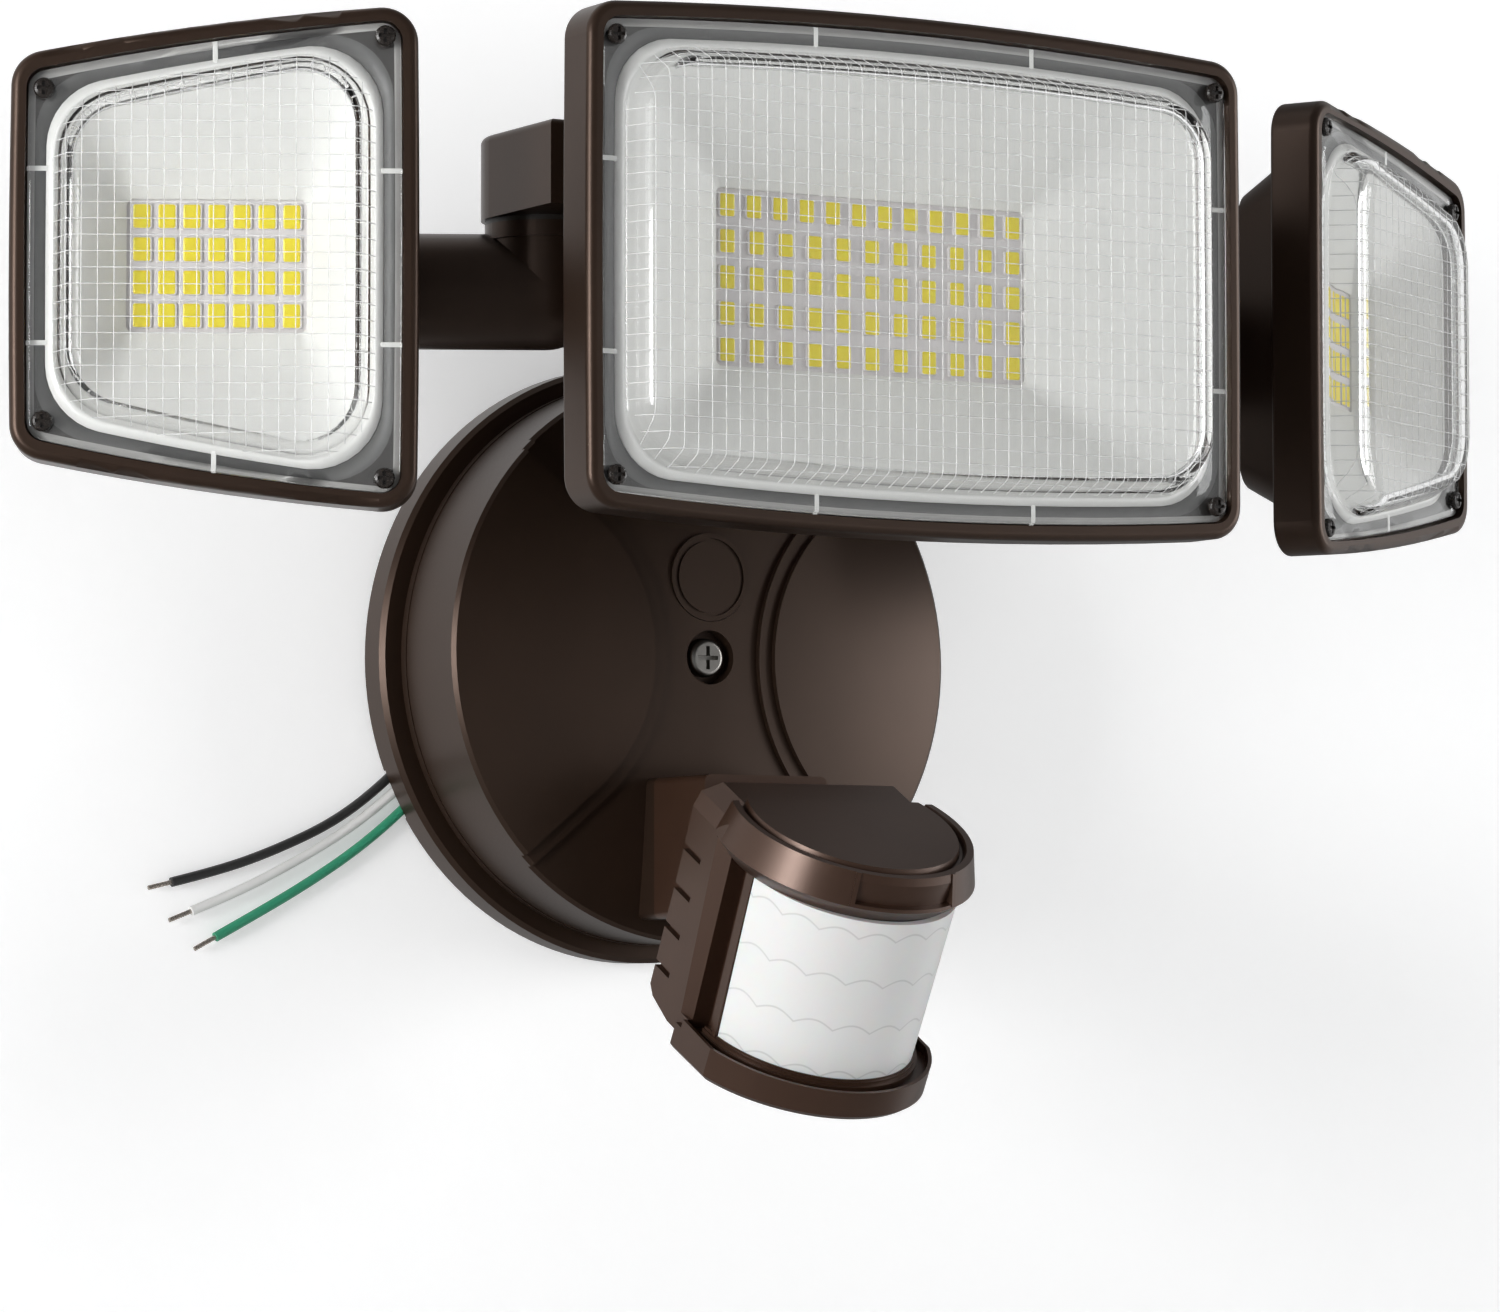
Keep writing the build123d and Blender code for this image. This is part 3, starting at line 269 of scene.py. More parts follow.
def phosphorFinish(name, look):
    # silicone filled with phosphor: deep lemon, and light soaks a little way in
    material, tree = newMaterial(name)
    place = addNode(tree, "ShaderNodeTexCoord").outputs["Object"]
    speckle = addNode(tree, "ShaderNodeTexNoise", inputs={
        "Vector": place, "Scale": 1 / (look["speckle"] * mm), "Detail": 3.0})
    tint = addNode(tree, "ShaderNodeMix", {"data_type": "RGBA"}, {
        0: speckle.outputs["Fac"], 6: colour(look["dark"]), 7: colour(look["light"])})
    shader = addNode(tree, "ShaderNodeBsdfPrincipled", inputs={
        "Base Color": tint.outputs[2], "Roughness": look["rough"],
        "Subsurface Weight": look["soak"], "Subsurface Scale": look["depth"] * mm})
    addNode(tree, "ShaderNodeOutputMaterial", inputs={"Surface": shader.outputs[0]})
    return material


def cellFinish(name, look):
    # milky polyethylene: light soaks in and comes back soft; scalloped rows of faint lens cells cross
    # it, laid out about the axis of the tilted lens; the grooves between the rows are sunk and also
    # tinted darker as painted shade
    material, tree = newMaterial(name)
    place = addNode(tree, "ShaderNodeTexCoord").outputs["Object"]
    local = addNode(tree, "ShaderNodeMapping", {"vector_type": "TEXTURE"}, {
        "Vector": place, "Location": Vector(look["axisPlace"]) * mm,
        "Rotation": (math.radians(look["tilt"]), 0.0, 0.0)})
    axes = addNode(tree, "ShaderNodeSeparateXYZ", inputs={"Vector": local.outputs[0]}).outputs
    front = addNode(tree, "ShaderNodeMath", {"operation": "MULTIPLY"}, {0: axes["Y"], 1: -1.0})
    around = addNode(tree, "ShaderNodeMath", {"operation": "ARCTAN2"}, {
        0: axes["X"], 1: front.outputs[0]})
    swing = addNode(tree, "ShaderNodeMath", {"operation": "MULTIPLY"}, {
        0: around.outputs[0], 1: look["cells"]})
    sine = addNode(tree, "ShaderNodeMath", {"operation": "SINE"}, {0: swing.outputs[0]})
    scallop = addNode(tree, "ShaderNodeMath", {"operation": "ABSOLUTE"}, {0: sine.outputs[0]})
    waved = addNode(tree, "ShaderNodeMath", {"operation": "MULTIPLY_ADD"}, {
        0: scallop.outputs[0], 1: -look["wave"] * mm, 2: axes["Z"]})
    away = addNode(tree, "ShaderNodeMath", {"operation": "PINGPONG"}, {
        0: waved.outputs[0], 1: look["rowPitch"] / 2 * mm})
    groove = addNode(tree, "ShaderNodeMapRange", inputs={
        "Value": away.outputs[0], "From Min": look["groove"][0] * mm,
        "From Max": look["groove"][1] * mm, "To Min": 1.0, "To Max": 0.0})
    grain = addNode(tree, "ShaderNodeTexNoise", inputs={
        "Vector": place, "Scale": 1 / (look["grain"] * mm), "Detail": 2.0})
    relief = addNode(tree, "ShaderNodeMath", {"operation": "MULTIPLY_ADD"}, {
        0: groove.outputs["Result"], 1: -look["sink"], 2: grain.outputs["Fac"]})
    bump = addNode(tree, "ShaderNodeBump", inputs={
        "Height": relief.outputs[0], "Distance": look["height"] * mm, "Strength": look["bump"]})
    # painted shade: the grooves take the darker tint
    paintedGrooveShade = addNode(tree, "ShaderNodeMath", {"operation": "MULTIPLY"}, {
        0: groove.outputs["Result"], 1: look["paintedGrooveShade"]})
    tint = addNode(tree, "ShaderNodeMix", {"data_type": "RGBA"}, {
        0: paintedGrooveShade.outputs[0], 6: colour(look["light"]), 7: colour(look["dark"])})
    shader = addNode(tree, "ShaderNodeBsdfPrincipled", inputs={
        "Base Color": tint.outputs[2], "Roughness": look["rough"], "Normal": bump.outputs["Normal"],
        "Subsurface Weight": look["soak"], "Subsurface Scale": look["depth"] * mm})
    addNode(tree, "ShaderNodeOutputMaterial", inputs={"Surface": shader.outputs[0]})
    return material


cellLook = {
    # millimetres and degrees; cells is half the count of scallops round a full turn
    "axisPlace": (0.0, -74.2, -78.0), "tilt": 28.5, "cells": 9.0, "wave": 1.6, "rowPitch": 10.5,
    "groove": (0.06, 0.3), "sink": 2.5, "paintedGrooveShade": 0.6, "light": "#dcdcdb", "dark": "#b4b4b3",
    "grain": 0.9, "height": 0.012, "bump": 0.5, "rough": 0.37, "soak": 0.25, "depth": 2.0,
}
clearLook = {"tint": "#fbfcfc", "rough": 0.02, "ior": 1.45, "mottle": 16, "height": 0.03, "bump": 0.3}
# tint and cover of the white hairline on the prism crests, a painted highlight
prismLook = {"tint": "#fbfbfb", "rough": 0.2, "ior": 1.5, "mottle": 5, "spread": (0.3, 0.7),
             "highlightCover": (0.35, 0.8)}
phosphorLook = {"dark": "#e0c800", "light": "#ecdb1c", "speckle": 0.9, "rough": 0.35, "soak": 0.15,
                "depth": 0.8}
materials["clear_polycarbonate"] = clearPlastic("clear_polycarbonate", clearLook)
materials["prism_edges"] = prismHighlightFinish("prism_edges", prismLook)
materials["led_phosphor"] = phosphorFinish("led_phosphor", phosphorLook)
materials["sensor_lens_white"] = cellFinish("sensor_lens_white", cellLook)
print("finishes mixed")


wireSettings = {
    # millimetres, and counts
    "diameter": 2.1,
    "strandRadius": 0.19,
    "strandRing": 0.34,
    "strandTurns": 1.6,
    "strandCount": 6,           # round one more in the middle
    "strippedLength": 5.4,
    "curveSteps": 10, "roundSteps": 5, "strandSteps": 14, "strandRoundSteps": 2,
}

wireRoutes = {
    "black": [(-2.1, -28.5, 45.7), (-2.1, -13.5, 45.7), (-15.5, -8.5, 26.5), (-32.5, -5.6, 5.0),
              (-44.0, -3.2, -10.5), (-50.5, -1.4, -18.0), (-60.5, -1.4, -27.5), (-71.8, -1.4, -35.4),
              (-86.0, -1.4, -41.6), (-98.5, -1.4, -45.8), (-109.6, -1.4, -48.4)],
    "white": [(0.0, -28.5, 44.0), (0.0, -13.5, 44.0), (-14.0, -8.5, 24.5), (-30.5, -5.6, 2.5),
              (-41.5, -3.2, -13.0), (-48.9, -1.4, -21.6), (-59.0, -1.4, -30.2), (-69.8, -1.4, -37.8),
              (-82.0, -1.4, -44.4), (-94.0, -1.4, -50.2), (-105.0, -1.4, -54.4)],
    "green": [(2.1, -28.5, 42.3), (2.1, -13.5, 42.3), (-12.5, -8.5, 22.5), (-28.5, -5.6, 0.0),
              (-39.0, -3.2, -15.5), (-46.8, -1.4, -24.4), (-56.3, -1.4, -33.4), (-66.4, -1.4, -41.2),
              (-78.0, -1.4, -48.4), (-89.0, -1.4, -54.4), (-99.4, -1.4, -59.8)],
}


def makeWire(name, route):
    curve = bpy.data.curves.new(f"{name}Insulation", "CURVE")
    curve.dimensions = "3D"
    curve.resolution_u = wireSettings["curveSteps"]
    curve.bevel_depth = 1.0     # the points carry the thickness, so that the curve's box stays true
    curve.bevel_resolution = wireSettings["roundSteps"]
    curve.use_fill_caps = True
    spline = curve.splines.new("NURBS")
    spline.points.add(len(route) - 1)
    for point, place in zip(spline.points, route):
        point.co = (*(Vector(place) * mm), 1)
        point.radius = wireSettings["diameter"] / 2 * mm
    spline.order_u = 3
    spline.use_endpoint_u = True
    wire = bpy.data.objects.new(f"{name}_wire_insulation", curve)
    bpy.context.scene.collection.objects.link(wire)
    return wire


def makeStrands(name, route):
    # stripped end: tinned strands twisted round one another
    end, before = Vector(route[-1]), Vector(route[-2])
    along = (end - before).normalized()
    side = along.cross(Vector((0, 0, 1))).normalized()
    other = along.cross(side)
    steps = wireSettings["strandSteps"]
    curve = bpy.data.curves.new(f"{name}Strands", "CURVE")
    curve.dimensions = "3D"
    curve.bevel_depth = wireSettings["strandRadius"] * mm
    curve.bevel_resolution = wireSettings["strandRoundSteps"]
    curve.use_fill_caps = True
    for strand in range(wireSettings["strandCount"] + 1):
        ring = wireSettings["strandRing"] if strand < wireSettings["strandCount"] else 0
        spline = curve.splines.new("POLY")
        spline.points.add(steps)
        for index, point in enumerate(spline.points):
            share = index / steps
            turns = strand / wireSettings["strandCount"] + share * wireSettings["strandTurns"]
            angle = math.tau * turns
            offset = (side * math.cos(angle) + other * math.sin(angle)) * ring
            point.co = (*((end + along * wireSettings["strippedLength"] * share + offset) * mm), 1)
    bundle = bpy.data.objects.new(f"{name}Bundle", curve)
    bpy.context.scene.collection.objects.link(bundle)
    return plainMesh(bundle, f"{name}_wire_strands")


for wireName, wireRoute in wireRoutes.items():
    insulation = makeWire(wireName, wireRoute)
    strands = makeStrands(wireName, wireRoute)
    for piece, node in ((insulation, f"{wireName}_wire"), (strands, f"{wireName}_conductor")):
        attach(piece, "canopy")
        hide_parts(node)
    for piece, slotName in ((insulation, f"{wireName}_insulation"), (strands, "tinned_copper")):
        piece.data.materials.append(materials[slotName])
print("wires laid")


# millimetres, as each head is seen from the front with its inner side on the left
headShapes = {
    "centre": {"halfWidth": 78.2, "halfInner": 49.6, "halfOuter": 49.6, "bow": 3.07, "sideBow": 0.3,
               "face": (0.0, -122.6, 72.4), "turn": 0.0, "ledDepth": 22.0, "ledHalf": (36.5, 17.0),
               "ledRows": (12, 11, 11, 11, 11), "tabs": {"side": (-19.0, 19.0), "top": (-25.0, 27.0)}},
    "side": {"halfWidth": 39.3, "halfInner": 49.5, "halfOuter": 38.7, "bow": 1.35, "sideBow": 0.4,
             "face": (143.4, -89.8, 70.95), "turn": 27.7, "ledDepth": 18.0, "ledHalf": (16.6, 12.1),
             "ledRows": (7, 7, 7, 7), "tabs": {"side": (-17.0, 17.0), "top": (0.0,)}},
}
heads = {"left": ("side", -1), "centre": ("centre", 1), "right": ("side", 1)}


def headPlace(shape, hand):
    # from the head's own frame to the light's; hand -1 mirrors it to the left
    turned = Matrix.Translation(Vector(shape["face"]) * mm) @ Matrix.Rotation(
        math.radians(shape["turn"]), 4, "Z") @ Matrix.Scale(mm, 4)
    return Matrix.Diagonal((hand, 1, 1, 1)) @ turned


def cornerArc(shape, inset, radius, sideSign, topSign, steps):
    # points of one rounded corner and the tangent points beside it
    w = shape["halfWidth"] - inset
    own, far = ((shape["halfOuter"], shape["halfInner"]) if sideSign > 0
                else (shape["halfInner"], shape["halfOuter"]))
    h, opposite = own - inset, far - inset
    slope = (h - opposite) / (2 * w) - 2 * shape["bow"] / w
    lean = 2 * shape["sideBow"] / h
    alongTop = Vector((-1, -slope)).normalized()
    alongSide = Vector((lean, -1)).normalized()
    angle = alongTop.angle(alongSide)
    corner = Vector((w, h))
    centre = corner + (alongTop + alongSide).normalized() * radius / math.sin(angle / 2)
    reach = radius / math.tan(angle / 2)
    start, end = corner + alongTop * reach, corner + alongSide * reach
    first = math.atan2(start.y - centre.y, start.x - centre.x)
    last = math.atan2(end.y - centre.y, end.x - centre.x)
    points = []
    for index in range(steps + 1):
        turn = first + (last - first) * index / steps
        points.append(Vector((sideSign * (centre.x + radius * math.cos(turn)),
                              topSign * (centre.y + radius * math.sin(turn)))))
    return points if sideSign * topSign > 0 else points[::-1]


def outlineRing(shape, inset, radius, cornerSteps=8, sideSteps=10):
    # the bowed outline, clockwise from the top right corner
    corners = [cornerArc(shape, inset, radius, *signs, cornerSteps)
               for signs in ((1, 1), (1, -1), (-1, -1), (-1, 1))]
    ring = []
    for index, arc in enumerate(corners):
        ring += arc
        start, end = arc[-1], corners[(index + 1) % 4][0]
        flat = (end - start).length
        bow = shape["sideBow"] if index % 2 == 0 else shape["bow"]
        whole = 2 * (shape["halfInner"] if index % 2 == 0 else shape["halfWidth"])
        bulge = bow * (flat / whole) ** 2
        outward = Vector((-(end - start).y, (end - start).x)).normalized()
        for step in range(1, sideSteps):
            share = step / sideSteps
            ring.append(start.lerp(end, share) + outward * bulge * 4 * share * (1 - share))
    return ring


def loftRings(name, place, rings, joined=False, smooth=True):
    # joined closes the last ring on the first, as on a gasket; otherwise both ends are capped
    vertices, faces = [], []
    count = len(rings[0][0])
    for ring, depth in rings:
        vertices += [place @ Vector((point.x, depth, point.y)) for point in ring]
    for row in range(len(rings) if joined else len(rings) - 1):
        upper = (row + 1) % len(rings)
        for index in range(count):
            beside = (index + 1) % count
            faces.append((row * count + index, row * count + beside,
                          upper * count + beside, upper * count + index))
    if not joined:
        faces.append(tuple(range(count)))
        faces.append(tuple(range((len(rings) - 1) * count, len(rings) * count)))
    return meshObject(name, vertices, faces, smooth)


def ringBand(name, shape, place, rows, joined=True):
    return loftRings(name, place, [
        (outlineRing(shape, inset, radius), depth) for inset, depth, radius in rows], joined)


# inset, depth and corner radius of each ring, from the middle of the front to the middle of the back
lensRows = [(30, -5.58, 4), (18, -5.58, 8), (13.2, -5.55, 10), (12.0, -5.45, 10.8), (11.3, -5.0, 11.2),
            (10.8, -4.0, 11.6), (10.0, -2.2, 12.4), (9.1, -0.2, 13.2), (8.75, 0.6, 13.4),
            (8.4, 0.95, 13.5), (7.9, 1.0, 13.5), (4.2, 1.0, 5.5), (3.6, 1.05, 3.8), (3.35, 1.35, 3.6),
            (3.35, 2.75, 3.6), (3.6, 2.8, 3.8), (9.9, 2.8, 12.2), (10.35, 2.5, 11.9),
            (10.7, 1.2, 11.6), (11.4, -0.6, 11.2), (12.2, -2.6, 10.6), (12.8, -3.4, 10.2),
            (13.8, -3.68, 9.6), (18, -3.7, 8), (30, -3.7, 4)]


def instanceTree(name):
    # puts one piece on every point of a mesh
    tree = bpy.data.node_groups.new(name, "GeometryNodeTree")
    tree.interface.new_socket("Geometry", in_out="INPUT", socket_type="NodeSocketGeometry")
    tree.interface.new_socket("Piece", in_out="INPUT", socket_type="NodeSocketObject")
    tree.interface.new_socket("Turn", in_out="INPUT", socket_type="NodeSocketVector")
    tree.interface.new_socket("Finish", in_out="INPUT", socket_type="NodeSocketMaterial")
    tree.interface.new_socket("Geometry", in_out="OUTPUT", socket_type="NodeSocketGeometry")
    source = addNode(tree, "NodeGroupInput")
    piece = addNode(tree, "GeometryNodeObjectInfo", inputs={"Object": source.outputs["Piece"]})
    spread = addNode(tree, "GeometryNodeInstanceOnPoints", inputs={
        "Points": source.outputs["Geometry"], "Instance": piece.outputs["Geometry"],
        "Rotation": source.outputs["Turn"]})
    solid = addNode(tree, "GeometryNodeRealizeInstances", inputs={
        "Geometry": spread.outputs["Instances"]})
    finished = addNode(tree, "GeometryNodeSetMaterial", inputs={
        "Geometry": solid.outputs["Geometry"], "Material": source.outputs["Finish"]})
    addNode(tree, "NodeGroupOutput", inputs={"Geometry": finished.outputs["Geometry"]})
    return tree


def setInputs(modifier, values):
    # by the socket's identifier, before the first evaluation
    for item in modifier.node_group.interface.items_tree:
        if item.item_type == "SOCKET" and item.in_out == "INPUT" and item.name in values:
            modifier[item.identifier] = values[item.name]


repeatPiece = instanceTree("repeatPiece")


def scatter(name, piece, points, turn, finish):
    base = meshObject(f"{name}Points", points, [])
    modifier = base.modifiers.new("repeat", "NODES")
    modifier.node_group = repeatPiece
    setInputs(modifier, {"Piece": piece, "Turn": turn, "Finish": finish})
    result = plainMesh(base, name)
    bpy.data.objects.remove(piece)
    return result


def ribTree(look):
    # fine prism edges: a net of straight lines dropped onto the lens along its own axis
    tree = bpy.data.node_groups.new("prismRibs", "GeometryNodeTree")
    tree.interface.new_socket("Geometry", in_out="INPUT", socket_type="NodeSocketGeometry")
    for name, kind in (("Lens", "Object"), ("Pitch", "Float"), ("HalfWidth", "Float"),
                       ("HalfHeight", "Float"), ("Radius", "Float"), ("Reach", "Float"),
                       ("Depth", "Float"), ("Place", "Vector"), ("Turn", "Vector"), ("Aim", "Vector"),
                       ("Finish", "Material")):
        tree.interface.new_socket(name, in_out="INPUT", socket_type=f"NodeSocket{kind}")
    tree.interface.new_socket("Geometry", in_out="OUTPUT", socket_type="NodeSocketGeometry")
    source = addNode(tree, "NodeGroupInput").outputs
    lens = addNode(tree, "GeometryNodeObjectInfo", inputs={"Object": source["Lens"]})

    def family(acrossName, alongName, acrossAxis, alongAxis):
        # one set of parallel lines, with a line through the middle
        pitches = addNode(tree, "ShaderNodeMath", {"operation": "DIVIDE"}, {
            0: source[acrossName], 1: source["Pitch"]})
        perSide = addNode(tree, "ShaderNodeMath", {"operation": "FLOOR"}, {0: pitches.outputs[0]})
        count = addNode(tree, "ShaderNodeMath", {"operation": "MULTIPLY_ADD"}, {
            0: perSide.outputs[0], 1: 2.0, 2: 1.0})
        outermost = addNode(tree, "ShaderNodeMath", {"operation": "MULTIPLY"}, {
            0: perSide.outputs[0], 1: source["Pitch"]})
        back = addNode(tree, "ShaderNodeMath", {"operation": "MULTIPLY"}, {
            0: outermost.outputs[0], 1: -1.0})
        start = addNode(tree, "ShaderNodeCombineXYZ", inputs={
            acrossAxis: back.outputs[0], "Y": source["Depth"]})
        step = addNode(tree, "ShaderNodeCombineXYZ", inputs={acrossAxis: source["Pitch"]})
        row = addNode(tree, "GeometryNodeMeshLine", inputs={
            "Count": count.outputs[0], "Start Location": start.outputs[0],
            "Offset": step.outputs[0]})
        down = addNode(tree, "ShaderNodeMath", {"operation": "MULTIPLY"}, {
            0: source[alongName], 1: -1.0})
        low = addNode(tree, "ShaderNodeCombineXYZ", inputs={alongAxis: down.outputs[0]})
        high = addNode(tree, "ShaderNodeCombineXYZ", inputs={alongAxis: source[alongName]})
        line = addNode(tree, "GeometryNodeCurvePrimitiveLine", inputs={
            "Start": low.outputs[0], "End": high.outputs[0]})
        return addNode(tree, "GeometryNodeInstanceOnPoints", inputs={
            "Points": row.outputs["Mesh"], "Instance": line.outputs["Curve"]})

    upright = family("HalfWidth", "HalfHeight", "X", "Z")
    level = family("HalfHeight", "HalfWidth", "Z", "X")
    join = addNode(tree, "GeometryNodeJoinGeometry")
    tree.links.new(upright.outputs["Instances"], join.inputs[0])
    tree.links.new(level.outputs["Instances"], join.inputs[0])
    lines = addNode(tree, "GeometryNodeRealizeInstances", inputs={"Geometry": join.outputs[0]})
    fine = addNode(tree, "GeometryNodeResampleCurve", inputs={"Curve": lines.outputs[0]})
    fine.inputs["Count"].default_value = look["points"]
    placed = addNode(tree, "GeometryNodeTransform", inputs={
        "Geometry": fine.outputs[0], "Translation": source["Place"], "Rotation": source["Turn"]})
    ray = addNode(tree, "GeometryNodeRaycast", inputs={
        "Target Geometry": lens.outputs["Geometry"], "Ray Direction": source["Aim"]})
    ray.inputs["Ray Length"].default_value = look["rayLength"] * mm
    tooFar = addNode(tree, "FunctionNodeCompare", {"operation": "GREATER_THAN"}, {
        0: ray.outputs["Hit Distance"], 1: source["Reach"]})
    missed = addNode(tree, "FunctionNodeBooleanMath", {"operation": "NOT"}, {0: ray.outputs["Is Hit"]})
    drop = addNode(tree, "FunctionNodeBooleanMath", {"operation": "OR"}, {
        0: tooFar.outputs[0], 1: missed.outputs[0]})
    dropped = addNode(tree, "GeometryNodeStoreNamedAttribute", {
        "data_type": "BOOLEAN", "domain": "POINT"}, {"Geometry": placed.outputs[0], "Name": "off"})
    tree.links.new(drop.outputs[0], dropped.inputs["Value"])
    seated = addNode(tree, "GeometryNodeSetPosition", inputs={
        "Geometry": dropped.outputs[0], "Position": ray.outputs["Hit Position"]})
    off = addNode(tree, "GeometryNodeInputNamedAttribute", {"data_type": "BOOLEAN"}, {"Name": "off"})
    kept = addNode(tree, "GeometryNodeDeleteGeometry", {"domain": "POINT"}, {
        "Geometry": seated.outputs[0], "Selection": off.outputs["Attribute"]})
    section = addNode(tree, "GeometryNodeCurvePrimitiveCircle", {"mode": "RADIUS"}, {
        "Resolution": look["sides"], "Radius": source["Radius"]})
    ribs = addNode(tree, "GeometryNodeCurveToMesh", inputs={
        "Curve": kept.outputs[0], "Profile Curve": section.outputs["Curve"], "Fill Caps": True})
    finished = addNode(tree, "GeometryNodeSetMaterial", inputs={
        "Geometry": ribs.outputs[0], "Material": source["Finish"]})
    addNode(tree, "NodeGroupOutput", inputs={"Geometry": finished.outputs[0]})
    return tree


ribLook = {
    "pitch": 3.17, "radius": 0.1, "margin": 7.0, "sides": 4, "points": 110,
    "stand": 20.0, "reach": 20.9, "rayLength": 100.0,   # the lines start in front and stop at the rim
}
prismRibs = ribTree(ribLook)


def makeRibs(name, lens, shape, hand):
    base = meshObject(f"{name}Base", [], [])
    turn = hand * math.radians(shape["turn"])
    face = Vector((hand * shape["face"][0], *shape["face"][1:])) * mm
    modifier = base.modifiers.new("ribs", "NODES")
    modifier.node_group = prismRibs
    setInputs(modifier, {
        "Lens": lens, "Pitch": ribLook["pitch"] * mm, "Radius": ribLook["radius"] * mm,
        "HalfWidth": (shape["halfWidth"] - ribLook["margin"]) * mm,
        "HalfHeight": (shape["halfInner"] + shape["bow"] - ribLook["margin"]) * mm,
        "Reach": ribLook["reach"] * mm, "Depth": -ribLook["stand"] * mm, "Place": face,
        "Turn": (0.0, 0.0, turn), "Aim": (-math.sin(turn), math.cos(turn), 0.0),
        "Finish": materials["prism_edges"]})
    return plainMesh(base, name)


for headName, (kind, hand) in heads.items():
    shape = headShapes[kind]
    place = headPlace(shape, hand)
    lens = ringBand(f"{headName}_lens_shell", shape, place, lensRows, joined=False)
    lens.data.materials.append(materials["clear_polycarbonate"])
    ribs = makeRibs(f"{headName}_lens_prisms", lens, shape, hand)
    for piece in (lens, ribs):
        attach(piece, f"{headName}_head")
    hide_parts(f"{headName}_lens")
print("lenses moulded")


gasketLook = {
    # inset, depth and corner radius, from the outer edge of the front to that of the back
    "rows": [(3.35, 2.95, 3.65), (4.7, 2.95, 2.6), (4.9, 2.95, 12.4), (6.9, 2.95, 13.4),
             (6.9, 4.2, 13.4), (3.35, 4.2, 3.65)],
    # the second row is the thin dark line, drawn wide at the corners as painted shade round the screw
    # bosses
    "finishes": ["pale_silicone", "smoked_silicone", "grey_silicone", "grey_silicone",
                 "grey_silicone", "pale_silicone"],
    "flangeRows": [(7.0, 2.9, 13.4), (10.2, 2.9, 12.6), (10.2, 3.3, 12.6), (7.0, 3.3, 13.4)],
    # inset and depth
    "tabRows": [(0.1, -0.28), (0.0, -0.2), (0.0, 0.0)],
    "tabWide": 1.0, "tabLong": 4.2, "tabCorner": 0.15, "tabInset": 5.4, "tabDepth": 3.1,
}
chipLook = {
    # half width and half height; inset and depth of each ring from the middle of the front
    "package": (2.05, 2.5),
    "packageRows": [(0.5, -0.42), (0.36, -0.55), (0.08, -0.55), (0.0, -0.45), (0.0, 0.0)],
    "window": (1.72, 2.36), "windowRows": [(0.3, -0.64), (0.0, -0.54), (0.0, -0.38)],
    "corner": 0.3, "margin": (1.9, 2.3),
}
screwLook = {
    "inset": 6.3, "sides": 24,
    # radius and depth from the middle of the head to the tip
    "profile": [(0.4, -0.4), (1.3, -0.34), (1.8, -0.1), (2.05, 0.35), (2.05, 1.0), (1.15, 1.05),
                (1.15, 9.2), (0.5, 9.9)],
    "slotHalf": 0.34, "slotReach": 1.35, "slotDepths": (-0.8, 0.3),
}


def makeGasket(name, shape, place):
    ring = ringBand(name, shape, place, gasketLook["rows"])
    used = []
    for finish in gasketLook["finishes"]:
        if finish not in used:
            used.append(finish)
            ring.data.materials.append(materials[finish])
    rows = len(gasketLook["rows"])
    for index, face in enumerate(ring.data.polygons):
        row = index * rows // len(ring.data.polygons)
        face.material_index = used.index(gasketLook["finishes"][row])
    return ring


def makePlate(name, halves, corner, rows):
    # a corner-cut plate in millimetres about the origin, as a pattern for scatter
    rings = []
    for inset, depth in rows:
        w, h = halves[0] - inset, halves[1] - inset
        edge = [(w, h - corner), (w, corner - h), (w - corner, -h), (corner - w, -h),
                (-w, corner - h), (-w, h - corner), (corner - w, h), (w - corner, h)]
        rings.append(([Vector(point) for point in edge], depth))
    return loftRings(name, Matrix.Scale(mm, 4), rings, smooth=False)


def makeCornerScrew(name):
    # a turned pan head with a cross cut into it
    look = screwLook
    turns = [math.tau * side / look["sides"] for side in range(look["sides"])]
    screw = loftRings(name, Matrix.Scale(mm, 4), [
        ([Vector((radius * math.cos(turn), radius * math.sin(turn))) for turn in turns], depth)
        for radius, depth in look["profile"]], smooth=False)
    a, b = look["slotHalf"], look["slotReach"]
    cross = [(a, a), (b, a), (b, -a), (a, -a), (a, -b), (-a, -b), (-a, -a), (-b, -a), (-b, a), (-a, a),
             (-a, b), (a, b)]
    cutter = loftRings(f"{name}Cross", Matrix.Scale(mm, 4), [
        ([Vector(point) for point in cross], depth) for depth in look["slotDepths"]], smooth=False)
    cut = screw.modifiers.new("cross", "BOOLEAN")
    cut.object = cutter
    cut.solver = "EXACT"
    finished = plainMesh(screw, name)
    bpy.data.objects.remove(cutter)
    return finished


def chipPlaces(shape, place):
    places = []
    rows = len(shape["ledRows"])
    halfWidth = shape["ledHalf"][0] - chipLook["margin"][0]
    halfHeight = shape["ledHalf"][1] - chipLook["margin"][1]
    for row, count in enumerate(shape["ledRows"]):
        z = halfHeight * (1 - 2 * row / (rows - 1))
        for column in range(count):
            x = halfWidth * (2 * column / (count - 1) - 1)
            places.append(place @ Vector((x, shape["ledDepth"], z)))
    return places


def screwPlaces(shape, place):
    x = shape["halfWidth"] - screwLook["inset"]
    inner, outer = shape["halfInner"] - screwLook["inset"], shape["halfOuter"] - screwLook["inset"]
    return [place @ Vector((side, 0, height)) for side, height in (
        (-x, inner), (-x, -inner), (x, outer), (x, -outer))]


